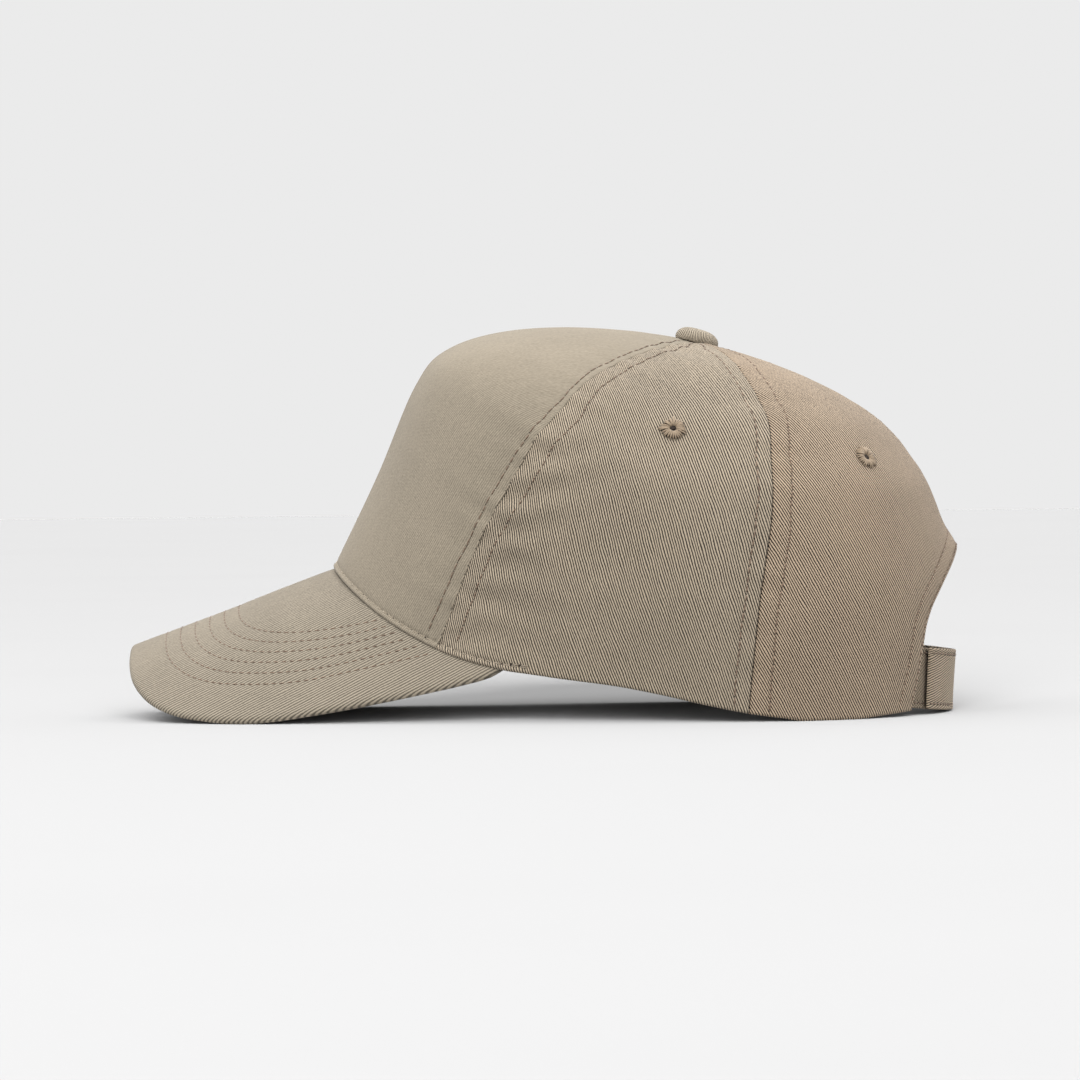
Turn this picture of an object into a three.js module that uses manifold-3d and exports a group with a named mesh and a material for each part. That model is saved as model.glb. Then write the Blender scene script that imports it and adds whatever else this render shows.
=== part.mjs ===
// Five panel cap, in millimetres, +Z up, the peak towards -Y, the wearer's left towards +X.
// The crown is a surface read round an upright axis through the top button: an angle from
// the front, and a step that runs from 0 at the rim to 6 at the button.
import * as THREE from 'three';
import Module from 'manifold-3d';

const wasm = await Module();
wasm.setup();

// Overall sizes
const CROWN_FRONT = 121;      // axis to the front of the rim
const CROWN_WIDTH = 82;       // axis to the side of the rim
const CROWN_BACK = 85.3;      // axis to the back of the rim
const CROWN_TOP = 123.3;      // height where the panels meet
const TOP_STEP = 5.9;         // step where the panels stop, round the button's shank

// Cloth and clearances
const FRONT_WALL = 2.0;       // front panel with its backing
const SIDE_WALL = 1.5;
const BACK_WALL = 1.4;
const RIM_WALL = 2.0;         // turned hem at the rim of the front and side panels
const SEAM_GAP = 0.34;
const PEAK_GAP = 0.3;
const TRIM_GAP = 0.3;
const BUTTON_GAP = 0.5;
const SEAM_DIP = 0.7;         // how far the crown sinks along a seam
const SEAM_REACH = 6.5;       // how wide that sinking is
const ARCH_FLARE = 1.7;       // how far the top of the back opening stands out
const ARCH_REACH = 9;

// Peak
const PEAK_REACH = 68;        // centre of the crown's front to the tip
const PEAK_ROOT = 49;         // height of its top face at the crown's front
const PEAK_SLOPE = 0.37;      // fall per millimetre forward
const PEAK_DROP = 53.7;       // fall from its middle to its ends, across the rim
const PEAK_THICK = 2.6;
const PEAK_END = 48.5;        // angle where its ends run out under the rim
const RIM_LEVEL = 50;         // angle up to which the rim lies along the peak

// Button, eyelets and strap
const BUTTON_RADIUS = 7.0;
const BUTTON_RISE = 3.9;      // from its flat underside to its top
const BUTTON_TILT = 16.5;
const SHANK_RADIUS = 2.6;
const SHANK_DEPTH = 3.3;      // from the crown's face to the disc inside
const DISC_RADIUS = 5.0;
const DISC_THICK = 1.0;
const EYELET_RADIUS = 4.0;
const EYELET_RISE = 0.85;
const EYELET_BORE = 0.8;
const SLEEVE_RADIUS = 1.5;
const SLEEVE_DEPTH = 1.1;
const STRAP_WIDTH = 20;
const STRAP_THICK = 1.2;
const STRAP_LOW = 0.1;        // lower edge of the strap at the centre of the back
const STRAP_LIFT = 1.7;       // how much higher it is where it meets the panels
const STRAP_SHORT = 2.3;      // from the left panel's edge to the free end of the outer band
const STRAP_SEWN = 13;        // length of each band inside its panel
const TAB_PAST = 19;          // how far the tab reaches past the centre of the back
const BAND_SHIFT = 16;        // length over which the outer band passes inside the panels

// Back opening
const OPENING_ANGLE = 35.3;   // half of it, at the rim
const OPENING_STEP = 1.41;    // top of its arch

// Soft folds beside the front seam
const FOLD_LENGTH = 16;
const FOLD_WIDTH = 5.5;
const FOLD_DEPTH = 0.9;

// Crown sections, a row per step. The first six are shares of the sizes above; the last two
// say how square the plan is (2 is an ellipse).
const SECTIONS = [
  // front, frontUp, side, sideUp, back, backUp, frontSquare, backSquare
  [1.000, 0.0000, 1.000, 0.000, 0.990, 0.000, 2.2, 2.1],
  [0.879, 0.4100, 0.990, 0.281, 1.012, 0.340, 2.3, 2.1],
  [0.771, 0.8156, 0.930, 0.548, 0.940, 0.540, 2.4, 2.1],
  [0.684, 0.9740, 0.845, 0.678, 0.853, 0.668, 2.4, 2.1],
  [0.516, 1.0550, 0.701, 0.812, 0.697, 0.794, 2.3, 2.1],
  [0.273, 1.0660, 0.415, 0.950, 0.401, 0.909, 2.1, 2.0],
  [0.000, 1.0000, 0.000, 1.000, 0.000, 1.000, 2.0, 2.0],
];

// Seams, a row per step: the angle of the front to side seam and of the side to back seam
const SEAMS = [
  // frontSeam, backSeam
  [35.2, 99.5],
  [43.4, 102.3],
  [51.9, 106.8],
  [56.2, 108.6],
  [58.8, 111.2],
  [68.0, 110.0],
  [78.0, 107.0],
];

// Height of the rim behind the peak, as a share of its height at the peak's end
const RIM = [
  // angle, share
  [50, 1.00],
  [60, 0.86],
  [70, 0.73],
  [80, 0.55],
  [90, 0.34],
  [100, 0.16],
  [107, 0.07],
  [113, 0.00],
  [124, 0.00],
  [135, 0.06],
  [145, 0.11],
  [180, 0.11],
];

// Edge of the back opening, from the rim up and over the arch, as shares of its height in
// steps and of its half angle
const ARCH = [
  // up, across
  [0.00, 1.00],
  [0.18, 0.95],
  [0.35, 0.925],
  [0.47, 0.905],
  [0.57, 0.845],
  [0.68, 0.72],
  [0.77, 0.605],
  [0.85, 0.48],
  [0.94, 0.30],
  [1.00, 0.00],
];

// Outline of the peak, from the tip back to its end: ahead is a share of the way from the
// end to the tip, half width a share of the width of the rim at the end
const PEAK_EDGE = [
  // ahead, halfWidth
  [1.000, 0.000],
  [0.999, 0.166],
  [0.994, 0.325],
  [0.982, 0.443],
  [0.961, 0.531],
  [0.923, 0.622],
  [0.861, 0.707],
  [0.776, 0.779],
  [0.691, 0.831],
  [0.607, 0.868],
  [0.483, 0.904],
  [0.359, 0.934],
  [0.235, 0.961],
  [0.111, 0.983],
  [0.041, 0.990],
  [0.003, 0.982],
];

// Soft folds of the side panels beside the front seam, as shares of a fold's sizes above
const FOLDS = [
  // angle, step, length, width, slant, depth
  [51.0, 0.95, 0.94, 1.00, -0.10, 1.0],
  [49.0, 0.58, 1.06, 0.91, 0.05, 1.0],
  [46.0, 0.25, 0.88, 0.91, 0.10, 0.67],
  [60.0, 1.25, 1.00, 1.27, -0.25, 0.56],
];

const RAD = Math.PI / 180;
const STEP_HEIGHT = 36;       // usual length of one step along the crown, for the folds

function ease(t) {
  const u = Math.max(0, Math.min(1, t));
  return u * u * (3 - 2 * u);
}

// One value from a table, smooth through its rows and level wherever two rows are equal
function read(table, key, value, at) {
  const last = table.length - 1;
  const rising = table[last][key] > table[0][key];
  const x = rising ? at : -at;
  const xs = table.map((row) => (rising ? row[key] : -row[key]));
  const ys = table.map((row) => row[value]);
  if (x <= xs[0]) return ys[0];
  if (x >= xs[last]) return ys[last];
  let i = 0;
  while (x > xs[i + 1]) i += 1;
  const chord = (k) => (ys[k + 1] - ys[k]) / (xs[k + 1] - xs[k]);
  const slope = (k) => {
    if (k === 0) return chord(0);
    if (k === last) return chord(last - 1);
    const before = chord(k - 1);
    const after = chord(k);
    return before * after <= 0 ? 0 : (2 * before * after) / (before + after);
  };
  const span = xs[i + 1] - xs[i];
  const t = (x - xs[i]) / span;
  const a = slope(i) * span;
  const b = slope(i + 1) * span;
  const rise = ys[i + 1] - ys[i];
  return ys[i] + a * t + (3 * rise - 2 * a - b) * t * t + (a + b - 2 * rise) * t * t * t;
}

function curve(p, q, r, s, t) {
  const a = -p + q * 3 - r * 3 + s;
  const b = p * 2 - q * 5 + r * 4 - s;
  return 0.5 * (2 * q + (r - p) * t + b * t * t + a * t * t * t);
}

const seamTable = SEAMS.map((row, i) => [i, row[0], row[1]]);
const frontSeam = (step) => read(seamTable, 0, 1, step);
const backSeam = (step) => read(seamTable, 0, 2, step);
const archEdge = (step) => 180 - OPENING_ANGLE * read(ARCH, 0, 1, step / OPENING_STEP);

function planRadius(angle, half, width, square) {
  if (half <= 0 || width <= 0) return 0;
  const c = Math.abs(Math.cos(angle)) / half;
  const s = Math.abs(Math.sin(angle)) / width;
  return (c ** square + s ** square) ** (-1 / square);
}

// Top face of the peak: straight along its middle, arched across
function peakTop(x, y) {
  const endWidth = sectionRadius(PEAK_END * RAD, 0) * Math.sin(PEAK_END * RAD);
  return PEAK_ROOT + PEAK_SLOPE * (y + CROWN_FRONT) - PEAK_DROP * (x / endWidth) ** 2;
}

function peakNormal(x) {
  const endWidth = sectionRadius(PEAK_END * RAD, 0) * Math.sin(PEAK_END * RAD);
  const across = (2 * PEAK_DROP * x) / endWidth ** 2;
  return new THREE.Vector3(across, -PEAK_SLOPE, 1).normalize();
}

function sectionRadius(angle, i) {
  const row = SECTIONS[i];
  const ahead = Math.cos(angle) > 0;
  const half = ahead ? row[0] * CROWN_FRONT : row[4] * CROWN_BACK;
  return planRadius(angle, half, row[2] * CROWN_WIDTH, ahead ? row[6] : row[7]);
}

// Angles run to 180 on either side of the front
function away(angle) {
  const turn = Math.abs(angle / RAD) % 360;
  return turn > 180 ? 360 - turn : turn;
}

// Height of the rim at an angle, at a point of it or of the wall's foot behind it
function rimHeight(angle, x, y) {
  const turn = away(angle);
  if (turn <= RIM_LEVEL) return peakTop(x, y) + PEAK_GAP;
  const r = sectionRadius(angle, 0);
  const fade = Math.max(0, 1 - (turn - RIM_LEVEL) / 6);
  const change = peakTop(x, y) - peakTop(r * Math.sin(angle), -r * Math.cos(angle));
  const end = sectionRadius(RIM_LEVEL * RAD, 0);
  const [across, ahead] = [end * Math.sin(RIM_LEVEL * RAD), end * Math.cos(RIM_LEVEL * RAD)];
  const level = peakTop(across, -ahead) + PEAK_GAP;
  return read(RIM, 0, 1, turn) * level + fade * change;
}

function sectionPoint(angle, i) {
  const row = SECTIONS[i];
  const ahead = Math.cos(angle) > 0;
  const lean = Math.cos(angle) ** 2;
  const up = row[3] + ((ahead ? row[1] : row[5]) - row[3]) * lean;
  const r = sectionRadius(angle, 0);
  const foot = rimHeight(angle, r * Math.sin(angle), -r * Math.cos(angle));
  return [sectionRadius(angle, i), foot + up * (CROWN_TOP - foot)];
}

// The bare crown surface before seams and folds
function bare(angle, step) {
  const pts = [];
  for (let i = 0; i < 7; i += 1) pts.push(sectionPoint(angle, i));
  const over = sectionPoint(angle + Math.PI, 5);
  pts.push([-over[0], over[1]]);
  pts.unshift([2 * pts[0][0] - pts[1][0], 2 * pts[0][1] - pts[1][1]]);
  const i = Math.min(5, Math.max(0, Math.floor(step)));
  const t = step - i;
  const r = curve(pts[i][0], pts[i + 1][0], pts[i + 2][0], pts[i + 3][0], t);
  const z = curve(pts[i][1], pts[i + 1][1], pts[i + 2][1], pts[i + 3][1], t);
  return new THREE.Vector3(r * Math.sin(angle), -r * Math.cos(angle), z);
}

function normal(angle, step) {
  const e = 0.004;
  const along = bare(angle + e, step).sub(bare(angle - e, step));
  const lower = Math.max(0, step - 0.02);
  const up = bare(angle, step + 0.02).sub(bare(angle, lower));
  return along.cross(up).normalize();
}

// How far the cloth sinks below the bare surface, at seams and in folds
function sink(angle, step) {
  const p = bare(angle, step);
  const r = Math.hypot(p.x, p.y);
  const turn = away(angle);
  const rise = Math.max(0, Math.min(1, (TOP_STEP - step) / 1.2));
  let depth = 0;
  const centre = step > OPENING_STEP ? [180] : [];
  for (const seam of [frontSeam(step), backSeam(step), ...centre]) {
    const d = (turn - seam) * RAD * r;
    depth += SEAM_DIP * rise * Math.exp(-((d / SEAM_REACH) ** 2));
  }
  for (const [at, row, length, width, slant, deep] of FOLDS) {
    const a = (turn - at) * RAD * r;
    const b = (step - row) * STEP_HEIGHT - slant * a;
    const fits = turn > frontSeam(step) ? FOLD_DEPTH * deep : 0;
    depth += fits * Math.exp(-((a / length / FOLD_LENGTH) ** 2) - (b / width / FOLD_WIDTH) ** 2);
  }
  const over = OPENING_STEP * read(ARCH, 1, 0, (180 - turn) / OPENING_ANGLE);
  const above = (step - over) * STEP_HEIGHT;
  const flare = ARCH_FLARE * ease((turn - 152) / 20) * Math.exp(-((above / ARCH_REACH) ** 2));
  return (depth - flare) * Math.min(1, step / 0.15);
}

// A point of the crown, with its height above (or below) the cloth's face
function crown(angle, step, height = 0) {
  return bare(angle, step).addScaledVector(normal(angle, step), height - sink(angle, step));
}

// A point of the rim itself, where the wall's foot stays level or lies along the peak
function rimPoint(angle, inset) {
  const p = bare(angle, 0);
  const n = normal(angle, 0);
  n.z = 0;
  p.addScaledVector(n.normalize(), -inset);
  p.z = rimHeight(angle, p.x, p.y);
  return p;
}

function geometry(points, faces) {
  const shape = new THREE.BufferGeometry();
  const flat = points.flatMap((p) => [p.x, p.y, p.z]);
  shape.setAttribute('position', new THREE.Float32BufferAttribute(flat, 3));
  shape.setIndex(faces);
  return shape;
}

// A closed sheet between two grids of points, the outer one facing out
function sheet(outer, inner) {
  const rows = outer.length;
  const cols = outer[0].length;
  const points = [...outer.flat(), ...inner.flat()];
  const faces = [];
  const o = (i, j) => i * cols + j;
  const n = (i, j) => rows * cols + i * cols + j;
  const quad = (a, b, c, d) => faces.push(a, b, c, a, c, d);
  for (let i = 0; i + 1 < rows; i += 1) {
    for (let j = 0; j + 1 < cols; j += 1) {
      quad(o(i, j), o(i, j + 1), o(i + 1, j + 1), o(i + 1, j));
      quad(n(i, j), n(i + 1, j), n(i + 1, j + 1), n(i, j + 1));
    }
    quad(o(i, 0), o(i + 1, 0), n(i + 1, 0), n(i, 0));
    quad(o(i + 1, cols - 1), o(i, cols - 1), n(i, cols - 1), n(i + 1, cols - 1));
  }
  for (let j = 0; j + 1 < cols; j += 1) {
    quad(o(0, j + 1), o(0, j), n(0, j), n(0, j + 1));
    quad(o(rows - 1, j), o(rows - 1, j + 1), n(rows - 1, j + 1), n(rows - 1, j));
  }
  return geometry(points, faces);
}

// A crown panel between two seams, its wall as thick as the hem at the rim. from and to give
// its edges in degrees at a step.
function panel(steps, cols, wall, hem, from, to) {
  const outer = [];
  const inner = [];
  for (const step of steps) {
    const near = [];
    const far = [];
    for (let j = 0; j <= cols; j += 1) {
      const u = j / cols;
      const share = u - 0.05 * Math.sin(2 * Math.PI * u);
      const middle = (from(step) + to(step)) * 0.5 * RAD;
      const p = bare(middle, step);
      const trim = SEAM_GAP / 2 / Math.hypot(p.x, p.y);
      const a = from(step) * RAD + trim;
      const b = to(step) * RAD - trim;
      const angle = a + (b - a) * share;
      if (step === 0) {
        near.push(rimPoint(angle, 0));
        far.push(rimPoint(angle, hem));
      } else {
        const turned = Math.max(0, 1 - step / 0.3);
        near.push(crown(angle, step));
        far.push(crown(angle, step, -(wall + (hem - wall) * turned)));
      }
    }
    outer.push(near);
    inner.push(far);
  }
  return sheet(outer, inner);
}

function toManifold(shape) {
  const vertProperties = new Float32Array(shape.attributes.position.array);
  const triVerts = new Uint32Array(shape.index.array);
  const mesh = new wasm.Mesh({ numProp: 3, vertProperties, triVerts });
  mesh.merge();
  return new wasm.Manifold(mesh);
}

function fromManifold(solid) {
  const mesh = solid.getMesh();
  const shape = new THREE.BufferGeometry();
  const flat = new THREE.BufferAttribute(new Float32Array(mesh.vertProperties), 3);
  shape.setAttribute('position', flat);
  shape.setIndex(Array.from(mesh.triVerts));
  return shape;
}

// Frame of an eyelet: its centre on the cloth, two directions along it and the way out
function eyeletFrame(angle, step) {
  const out = normal(angle, step);
  const centre = crown(angle, step);
  const across = new THREE.Vector3(0, 0, 1).cross(out).normalize();
  const up = out.clone().cross(across).normalize();
  return { centre, across, up, out, angle, step };
}

// A point near an eyelet: along the crown by radius and turn, then out by height
function besideEyelet(frame, radius, turn, height) {
  const { centre, across, up, out, angle, step } = frame;
  const e = 0.01;
  const alongAngle = crown(angle + e, step).sub(centre).divideScalar(e);
  const alongStep = crown(angle, step + e).sub(centre).divideScalar(e);
  const x = radius * Math.cos(turn);
  const y = radius * Math.sin(turn);
  const a = alongAngle.dot(across);
  const b = alongStep.dot(across);
  const c = alongAngle.dot(up);
  const d = alongStep.dot(up);
  const det = a * d - b * c;
  const da = (x * d - y * b) / det;
  const ds = (y * a - x * c) / det;
  return crown(angle + da, step + ds).addScaledVector(out, height);
}

const EYELETS = {
  // angle, step
  side: [81.9, 3.45],
  back: [138.2, 3.04],
};

function eyelet(angle, step) {
  const frame = eyeletFrame(angle * RAD, step);
  const profile = [
    // radius, height
    [EYELET_BORE, -SLEEVE_DEPTH],
    [SLEEVE_RADIUS, -SLEEVE_DEPTH],
    [SLEEVE_RADIUS, TRIM_GAP],
    [EYELET_RADIUS * 0.97, TRIM_GAP],
    [EYELET_RADIUS, TRIM_GAP + EYELET_RISE * 0.35],
    [EYELET_RADIUS * 0.82, TRIM_GAP + EYELET_RISE * 0.88],
    [EYELET_RADIUS * 0.55, TRIM_GAP + EYELET_RISE],
    [EYELET_RADIUS * 0.3, TRIM_GAP + EYELET_RISE * 0.7],
    [EYELET_BORE, TRIM_GAP + EYELET_RISE * 0.2],
  ];
  const turns = 16;
  const n = profile.length;
  const points = [];
  const faces = [];
  for (let k = 0; k < turns; k += 1) {
    for (const [radius, height] of profile) {
      points.push(besideEyelet(frame, radius, (k / turns) * 2 * Math.PI, height));
    }
  }
  for (let k = 0; k < turns; k += 1) {
    for (let i = 0; i < n; i += 1) {
      const a = k * n + i;
      const b = k * n + ((i + 1) % n);
      const c = ((k + 1) % turns) * n + ((i + 1) % n);
      const d = ((k + 1) % turns) * n + i;
      faces.push(a, d, c, a, c, b);
    }
  }
  return geometry(points, faces);
}

// The panel with the eyelet's sleeve hole cut through it
function pierced(shape, angle, step) {
  const frame = eyeletFrame(angle * RAD, step);
  const radius = SLEEVE_RADIUS + TRIM_GAP;
  const pin = new THREE.CylinderGeometry(radius, radius, 12, 16);
  const turned = new THREE.Quaternion();
  turned.setFromUnitVectors(new THREE.Vector3(0, 1, 0), frame.out);
  pin.applyQuaternion(turned);
  pin.translate(frame.centre.x, frame.centre.y, frame.centre.z);
  const pinShape = new THREE.BufferGeometry();
  pinShape.setAttribute('position', pin.attributes.position);
  pinShape.setIndex(pin.index);
  return fromManifold(toManifold(shape).subtract(toManifold(pinShape)));
}

function range(pairs) {
  const out = [];
  for (const [from, to, count] of pairs) {
    for (let i = 0; i < count; i += 1) out.push(from + ((to - from) * i) / count);
  }
  out.push(pairs[pairs.length - 1][1]);
  return out;
}

const STEPS = range([[0, 0.15, 1], [0.15, 1.35, 6], [1.35, 3.6, 7], [3.6, TOP_STEP, 6]]);
const BACK_STEPS = [
  ...[0, 0.11, 0.3, 0.5, 0.6, 0.7, 0.8, 0.88, 0.94, 0.975].map((up) => up * OPENING_STEP),
  ...range([[OPENING_STEP, 3.6, 6], [3.6, TOP_STEP, 6]]),
];

const frontShape = panel(STEPS, 21, FRONT_WALL, RIM_WALL, (s) => -frontSeam(s), frontSeam);
const sideLeft = panel(STEPS, 15, SIDE_WALL, RIM_WALL, frontSeam, backSeam);
const backLeft = panel(BACK_STEPS, 14, BACK_WALL, BACK_WALL, backSeam, archEdge);

function mirrored(shape) {
  const copy = shape.clone();
  copy.scale(-1, 1, 1);
  const index = copy.index.array;
  for (let i = 0; i < index.length; i += 3) {
    const keep = index[i];
    index[i] = index[i + 1];
    index[i + 1] = keep;
  }
  return copy;
}

// Peak: rows run from under the rim out to the edge, columns from end to end
function peakShape() {
  const end = bare(PEAK_END * RAD, 0);
  const reach = CROWN_FRONT + PEAK_REACH + end.y;
  const half = PEAK_EDGE.map(([ahead, halfWidth]) => {
    return new THREE.Vector3(halfWidth * end.x, end.y - ahead * reach, 0);
  });
  const mirror = half.slice(1).reverse().map((p) => new THREE.Vector3(-p.x, p.y, 0));
  const edge = new THREE.CatmullRomCurve3([...mirror, ...half], false, 'centripetal');
  const cols = 48;
  const along = edge.getSpacedPoints(cols);
  const shares = [0, 0.1, 0.28, 0.46, 0.64, 0.82, 0.95, 1];
  const outer = [];
  const inner = [];
  for (const share of shares) {
    const near = [];
    const far = [];
    for (let j = 0; j <= cols; j += 1) {
      const angle = ((2 * j) / cols - 1) * PEAK_END * RAD;
      const root = rimPoint(angle, RIM_WALL);
      const tip = along[j];
      const x = root.x + (tip.x - root.x) * share;
      const y = root.y + (tip.y - root.y) * share;
      const n = peakNormal(x);
      const round = share === 1 ? PEAK_THICK * 0.29 : 0;
      const top = new THREE.Vector3(x, y, peakTop(x, y));
      near.push(top.clone().addScaledVector(n, -round));
      far.push(top.clone().addScaledVector(n, round - PEAK_THICK));
    }
    outer.push(near);
    inner.push(far);
  }
  return sheet(inner, outer);
}

// Cloth covered button with a shank through the crown and a plain disc inside it
function buttonShape() {
  const under = -SHANK_DEPTH;
  const profile = [
    // radius, height
    [0, under - DISC_THICK],
    [DISC_RADIUS, under - DISC_THICK],
    [DISC_RADIUS, under],
    [SHANK_RADIUS, under],
    [SHANK_RADIUS, BUTTON_GAP],
    [BUTTON_RADIUS * 0.89, BUTTON_GAP],
    [BUTTON_RADIUS * 0.985, BUTTON_GAP + BUTTON_RISE * 0.13],
    [BUTTON_RADIUS, BUTTON_GAP + BUTTON_RISE * 0.28],
    [BUTTON_RADIUS * 0.93, BUTTON_GAP + BUTTON_RISE * 0.54],
    [BUTTON_RADIUS * 0.74, BUTTON_GAP + BUTTON_RISE * 0.78],
    [BUTTON_RADIUS * 0.44, BUTTON_GAP + BUTTON_RISE * 0.95],
    [0, BUTTON_GAP + BUTTON_RISE],
  ].map(([r, h]) => new THREE.Vector2(r, h));
  const lathe = new THREE.LatheGeometry(profile, 24);
  lathe.rotateX(Math.PI / 2);
  lathe.rotateX(-BUTTON_TILT * RAD);
  const top = bare(0, 6);
  lathe.translate(top.x, top.y, top.z);
  return lathe;
}

// A band of the back strap. depth gives how far its outer face lies inside the crown's face.
function band(from, to, cols, depth) {
  const outer = [];
  const inner = [];
  for (const share of [0, 0.33, 0.67, 1]) {
    const near = [];
    const far = [];
    for (let j = 0; j <= cols; j += 1) {
      const degrees = from + ((to - from) * j) / cols;
      const angle = degrees * RAD;
      const lift = STRAP_LIFT * Math.min(1.2, Math.abs(degrees - 180) / OPENING_ANGLE) ** 2;
      const height = STRAP_LOW + lift + STRAP_WIDTH * share;
      const foot = sectionPoint(angle, 0)[1];
      const step = Math.max(0.001, (height - foot) / (sectionPoint(angle, 1)[1] - foot));
      const p = bare(angle, step);
      const n = normal(angle, step);
      n.z = 0;
      n.normalize();
      p.z = height;
      near.push(p.clone().addScaledVector(n, -depth(degrees)));
      far.push(p.clone().addScaledVector(n, -depth(degrees) - STRAP_THICK));
    }
    outer.push(near);
    inner.push(far);
  }
  return sheet(outer, inner);
}

// Straps are laid out in degrees round the back of the rim
const degrees = (length) => length / (CROWN_BACK * RAD);
const openingEdge = archEdge(0.25);
const insideFace = BACK_WALL + TRIM_GAP;
const tab = band(
  openingEdge - degrees(STRAP_SEWN),
  180 + degrees(TAB_PAST),
  22,
  () => insideFace,
);
const shiftEnd = 360 - openingEdge - degrees(2);
const outerBand = band(
  openingEdge + degrees(STRAP_SHORT + 1),
  360 - openingEdge + degrees(STRAP_SEWN),
  30,
  (d) => insideFace * ease((d - shiftEnd) / degrees(BAND_SHIFT) + 1),
);

const COLOURS = {
  front: 0xafa28f,
  side: 0xa39681,
  back: 0xa5927c,
  peak: 0xb0a390,
  button: 0xaca08e,
  thread: 0x9d8468,
  strap: 0x9b8975,
};

const pieces = [
  // name, shape, colour
  ['front_panel', frontShape, 'front'],
  ['side_panel_left', pierced(sideLeft, ...EYELETS.side), 'side'],
  ['back_panel_left', pierced(backLeft, ...EYELETS.back), 'back'],
  ['peak', peakShape(), 'peak'],
  ['top_button', buttonShape(), 'button'],
  ['eyelet_side_left', eyelet(...EYELETS.side), 'thread'],
  ['eyelet_back_left', eyelet(...EYELETS.back), 'thread'],
  ['strap_left', tab, 'strap'],
  ['strap_right', outerBand, 'strap'],
];
for (const [name, shape, colour] of pieces.slice()) {
  if (name.startsWith('strap') || !name.endsWith('_left')) continue;
  pieces.push([name.replace('_left', '_right'), mirrored(shape), colour]);
}

// The object's frame: the middle of its box, on the surface that it rests on
const box = new THREE.Box3();
for (const [, shape] of pieces) {
  shape.computeBoundingBox();
  box.union(shape.boundingBox);
}
const middle = box.getCenter(new THREE.Vector3());

const cap = new THREE.Group();
cap.name = 'five_panel_cap';
for (const [name, shape, colour] of pieces) {
  shape.translate(-middle.x, -middle.y, -box.min.z);
  shape.computeVertexNormals();
  const cloth = new THREE.MeshStandardMaterial({
    color: COLOURS[colour],
    roughness: 0.92,
    metalness: 0,
  });
  const mesh = new THREE.Mesh(shape, cloth);
  mesh.name = name;
  cap.add(mesh);
}

export default cap;
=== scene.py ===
# Five panel cap: the cloth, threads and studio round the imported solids.
# Shapes are worked out in millimetres about the crown's upright axis, with the peak towards
# -Y and the wearer's left towards +X, and are turned into metres in the frame at the end.
import math

import bpy
import numpy as np
from mathutils import Matrix, Vector


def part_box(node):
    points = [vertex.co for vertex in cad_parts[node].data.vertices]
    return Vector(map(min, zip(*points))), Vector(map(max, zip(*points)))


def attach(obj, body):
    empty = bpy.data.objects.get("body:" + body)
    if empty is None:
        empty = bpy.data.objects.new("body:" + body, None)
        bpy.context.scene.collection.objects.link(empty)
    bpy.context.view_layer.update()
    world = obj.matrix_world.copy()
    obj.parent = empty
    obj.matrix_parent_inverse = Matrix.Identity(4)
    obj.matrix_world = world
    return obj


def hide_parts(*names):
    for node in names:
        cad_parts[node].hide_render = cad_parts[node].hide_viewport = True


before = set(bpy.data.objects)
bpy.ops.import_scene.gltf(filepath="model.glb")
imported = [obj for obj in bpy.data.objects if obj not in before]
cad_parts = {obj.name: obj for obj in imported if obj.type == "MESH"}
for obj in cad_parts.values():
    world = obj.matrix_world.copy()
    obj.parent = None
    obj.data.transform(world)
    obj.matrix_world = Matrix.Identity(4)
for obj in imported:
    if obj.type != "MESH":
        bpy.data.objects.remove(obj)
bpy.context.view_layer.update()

RAD = math.pi / 180

# Sizes of the crown, the peak and the strap, as in the solids
CROWN_FRONT = 121
CROWN_WIDTH = 82
CROWN_BACK = 85.3
CROWN_TOP = 123.3
TOP_STEP = 5.9
FRONT_WALL = 2.0
SIDE_WALL = 1.5
BACK_WALL = 1.4
RIM_WALL = 2.0
PEAK_GAP = 0.3
TRIM_GAP = 0.3
BUTTON_GAP = 0.5
SEAM_DIP = 0.7
SEAM_REACH = 6.5
ARCH_FLARE = 1.7
ARCH_REACH = 9
FLARE_FROM = 152
FLARE_SPAN = 20
PEAK_REACH = 68
PEAK_ROOT = 49
PEAK_SLOPE = 0.37
PEAK_DROP = 53.7
PEAK_THICK = 2.6
PEAK_END = 48.5
NOSE_DEPTH = 0.29             # the peak's foremost line under its top, as a share of its thickness
RIM_LEVEL = 50
BUTTON_RADIUS = 7.0
BUTTON_RISE = 3.9
BUTTON_TILT = 16.5
BUTTON_BACK = 0.35            # how far its cap sits back from its shank
SHANK_RADIUS = 2.6
SHANK_DEPTH = 3.3
DISC_RADIUS = 5.0
DISC_THICK = 1.0
EYELET_RADIUS = 4.0
EYELET_RISE = 0.85
EYELET_BORE = 0.8
EYELET_THREADS = 30
SLEEVE_RADIUS = 1.5
SLEEVE_DEPTH = 1.1
STRAP_WIDTH = 20
STRAP_THICK = 1.2
STRAP_LOW = 0.1
STRAP_LIFT = 1.7
STRAP_TILT = 0.8              # rise of the strap towards the wearer's left
STRAP_START = 4.9             # edge of the opening to the end of the band over the tab
STRAP_SEWN = 13
STRAP_FROM = 0.952            # share of the opening's half angle where the strap comes out
STRAP_ROUND = 0.45            # radius of the strap's edges as a share of its thickness
STRAP_GROOVE = 0.45
STRAP_GROOVE_WIDTH = 0.7
# radius of the gems of painted shade in the strap's needle holes
STRAP_HOLE = 0.3
STRAP_UNEVEN = 0.06
TAB_PAST = 19
BAND_SHIFT = 16
OPENING_ANGLE = 35.3
OPENING_STEP = 1.41
FOLD_LENGTH = 16
FOLD_WIDTH = 5.5
FOLD_DEPTH = 0.9
STEP_HEIGHT = 36

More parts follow.
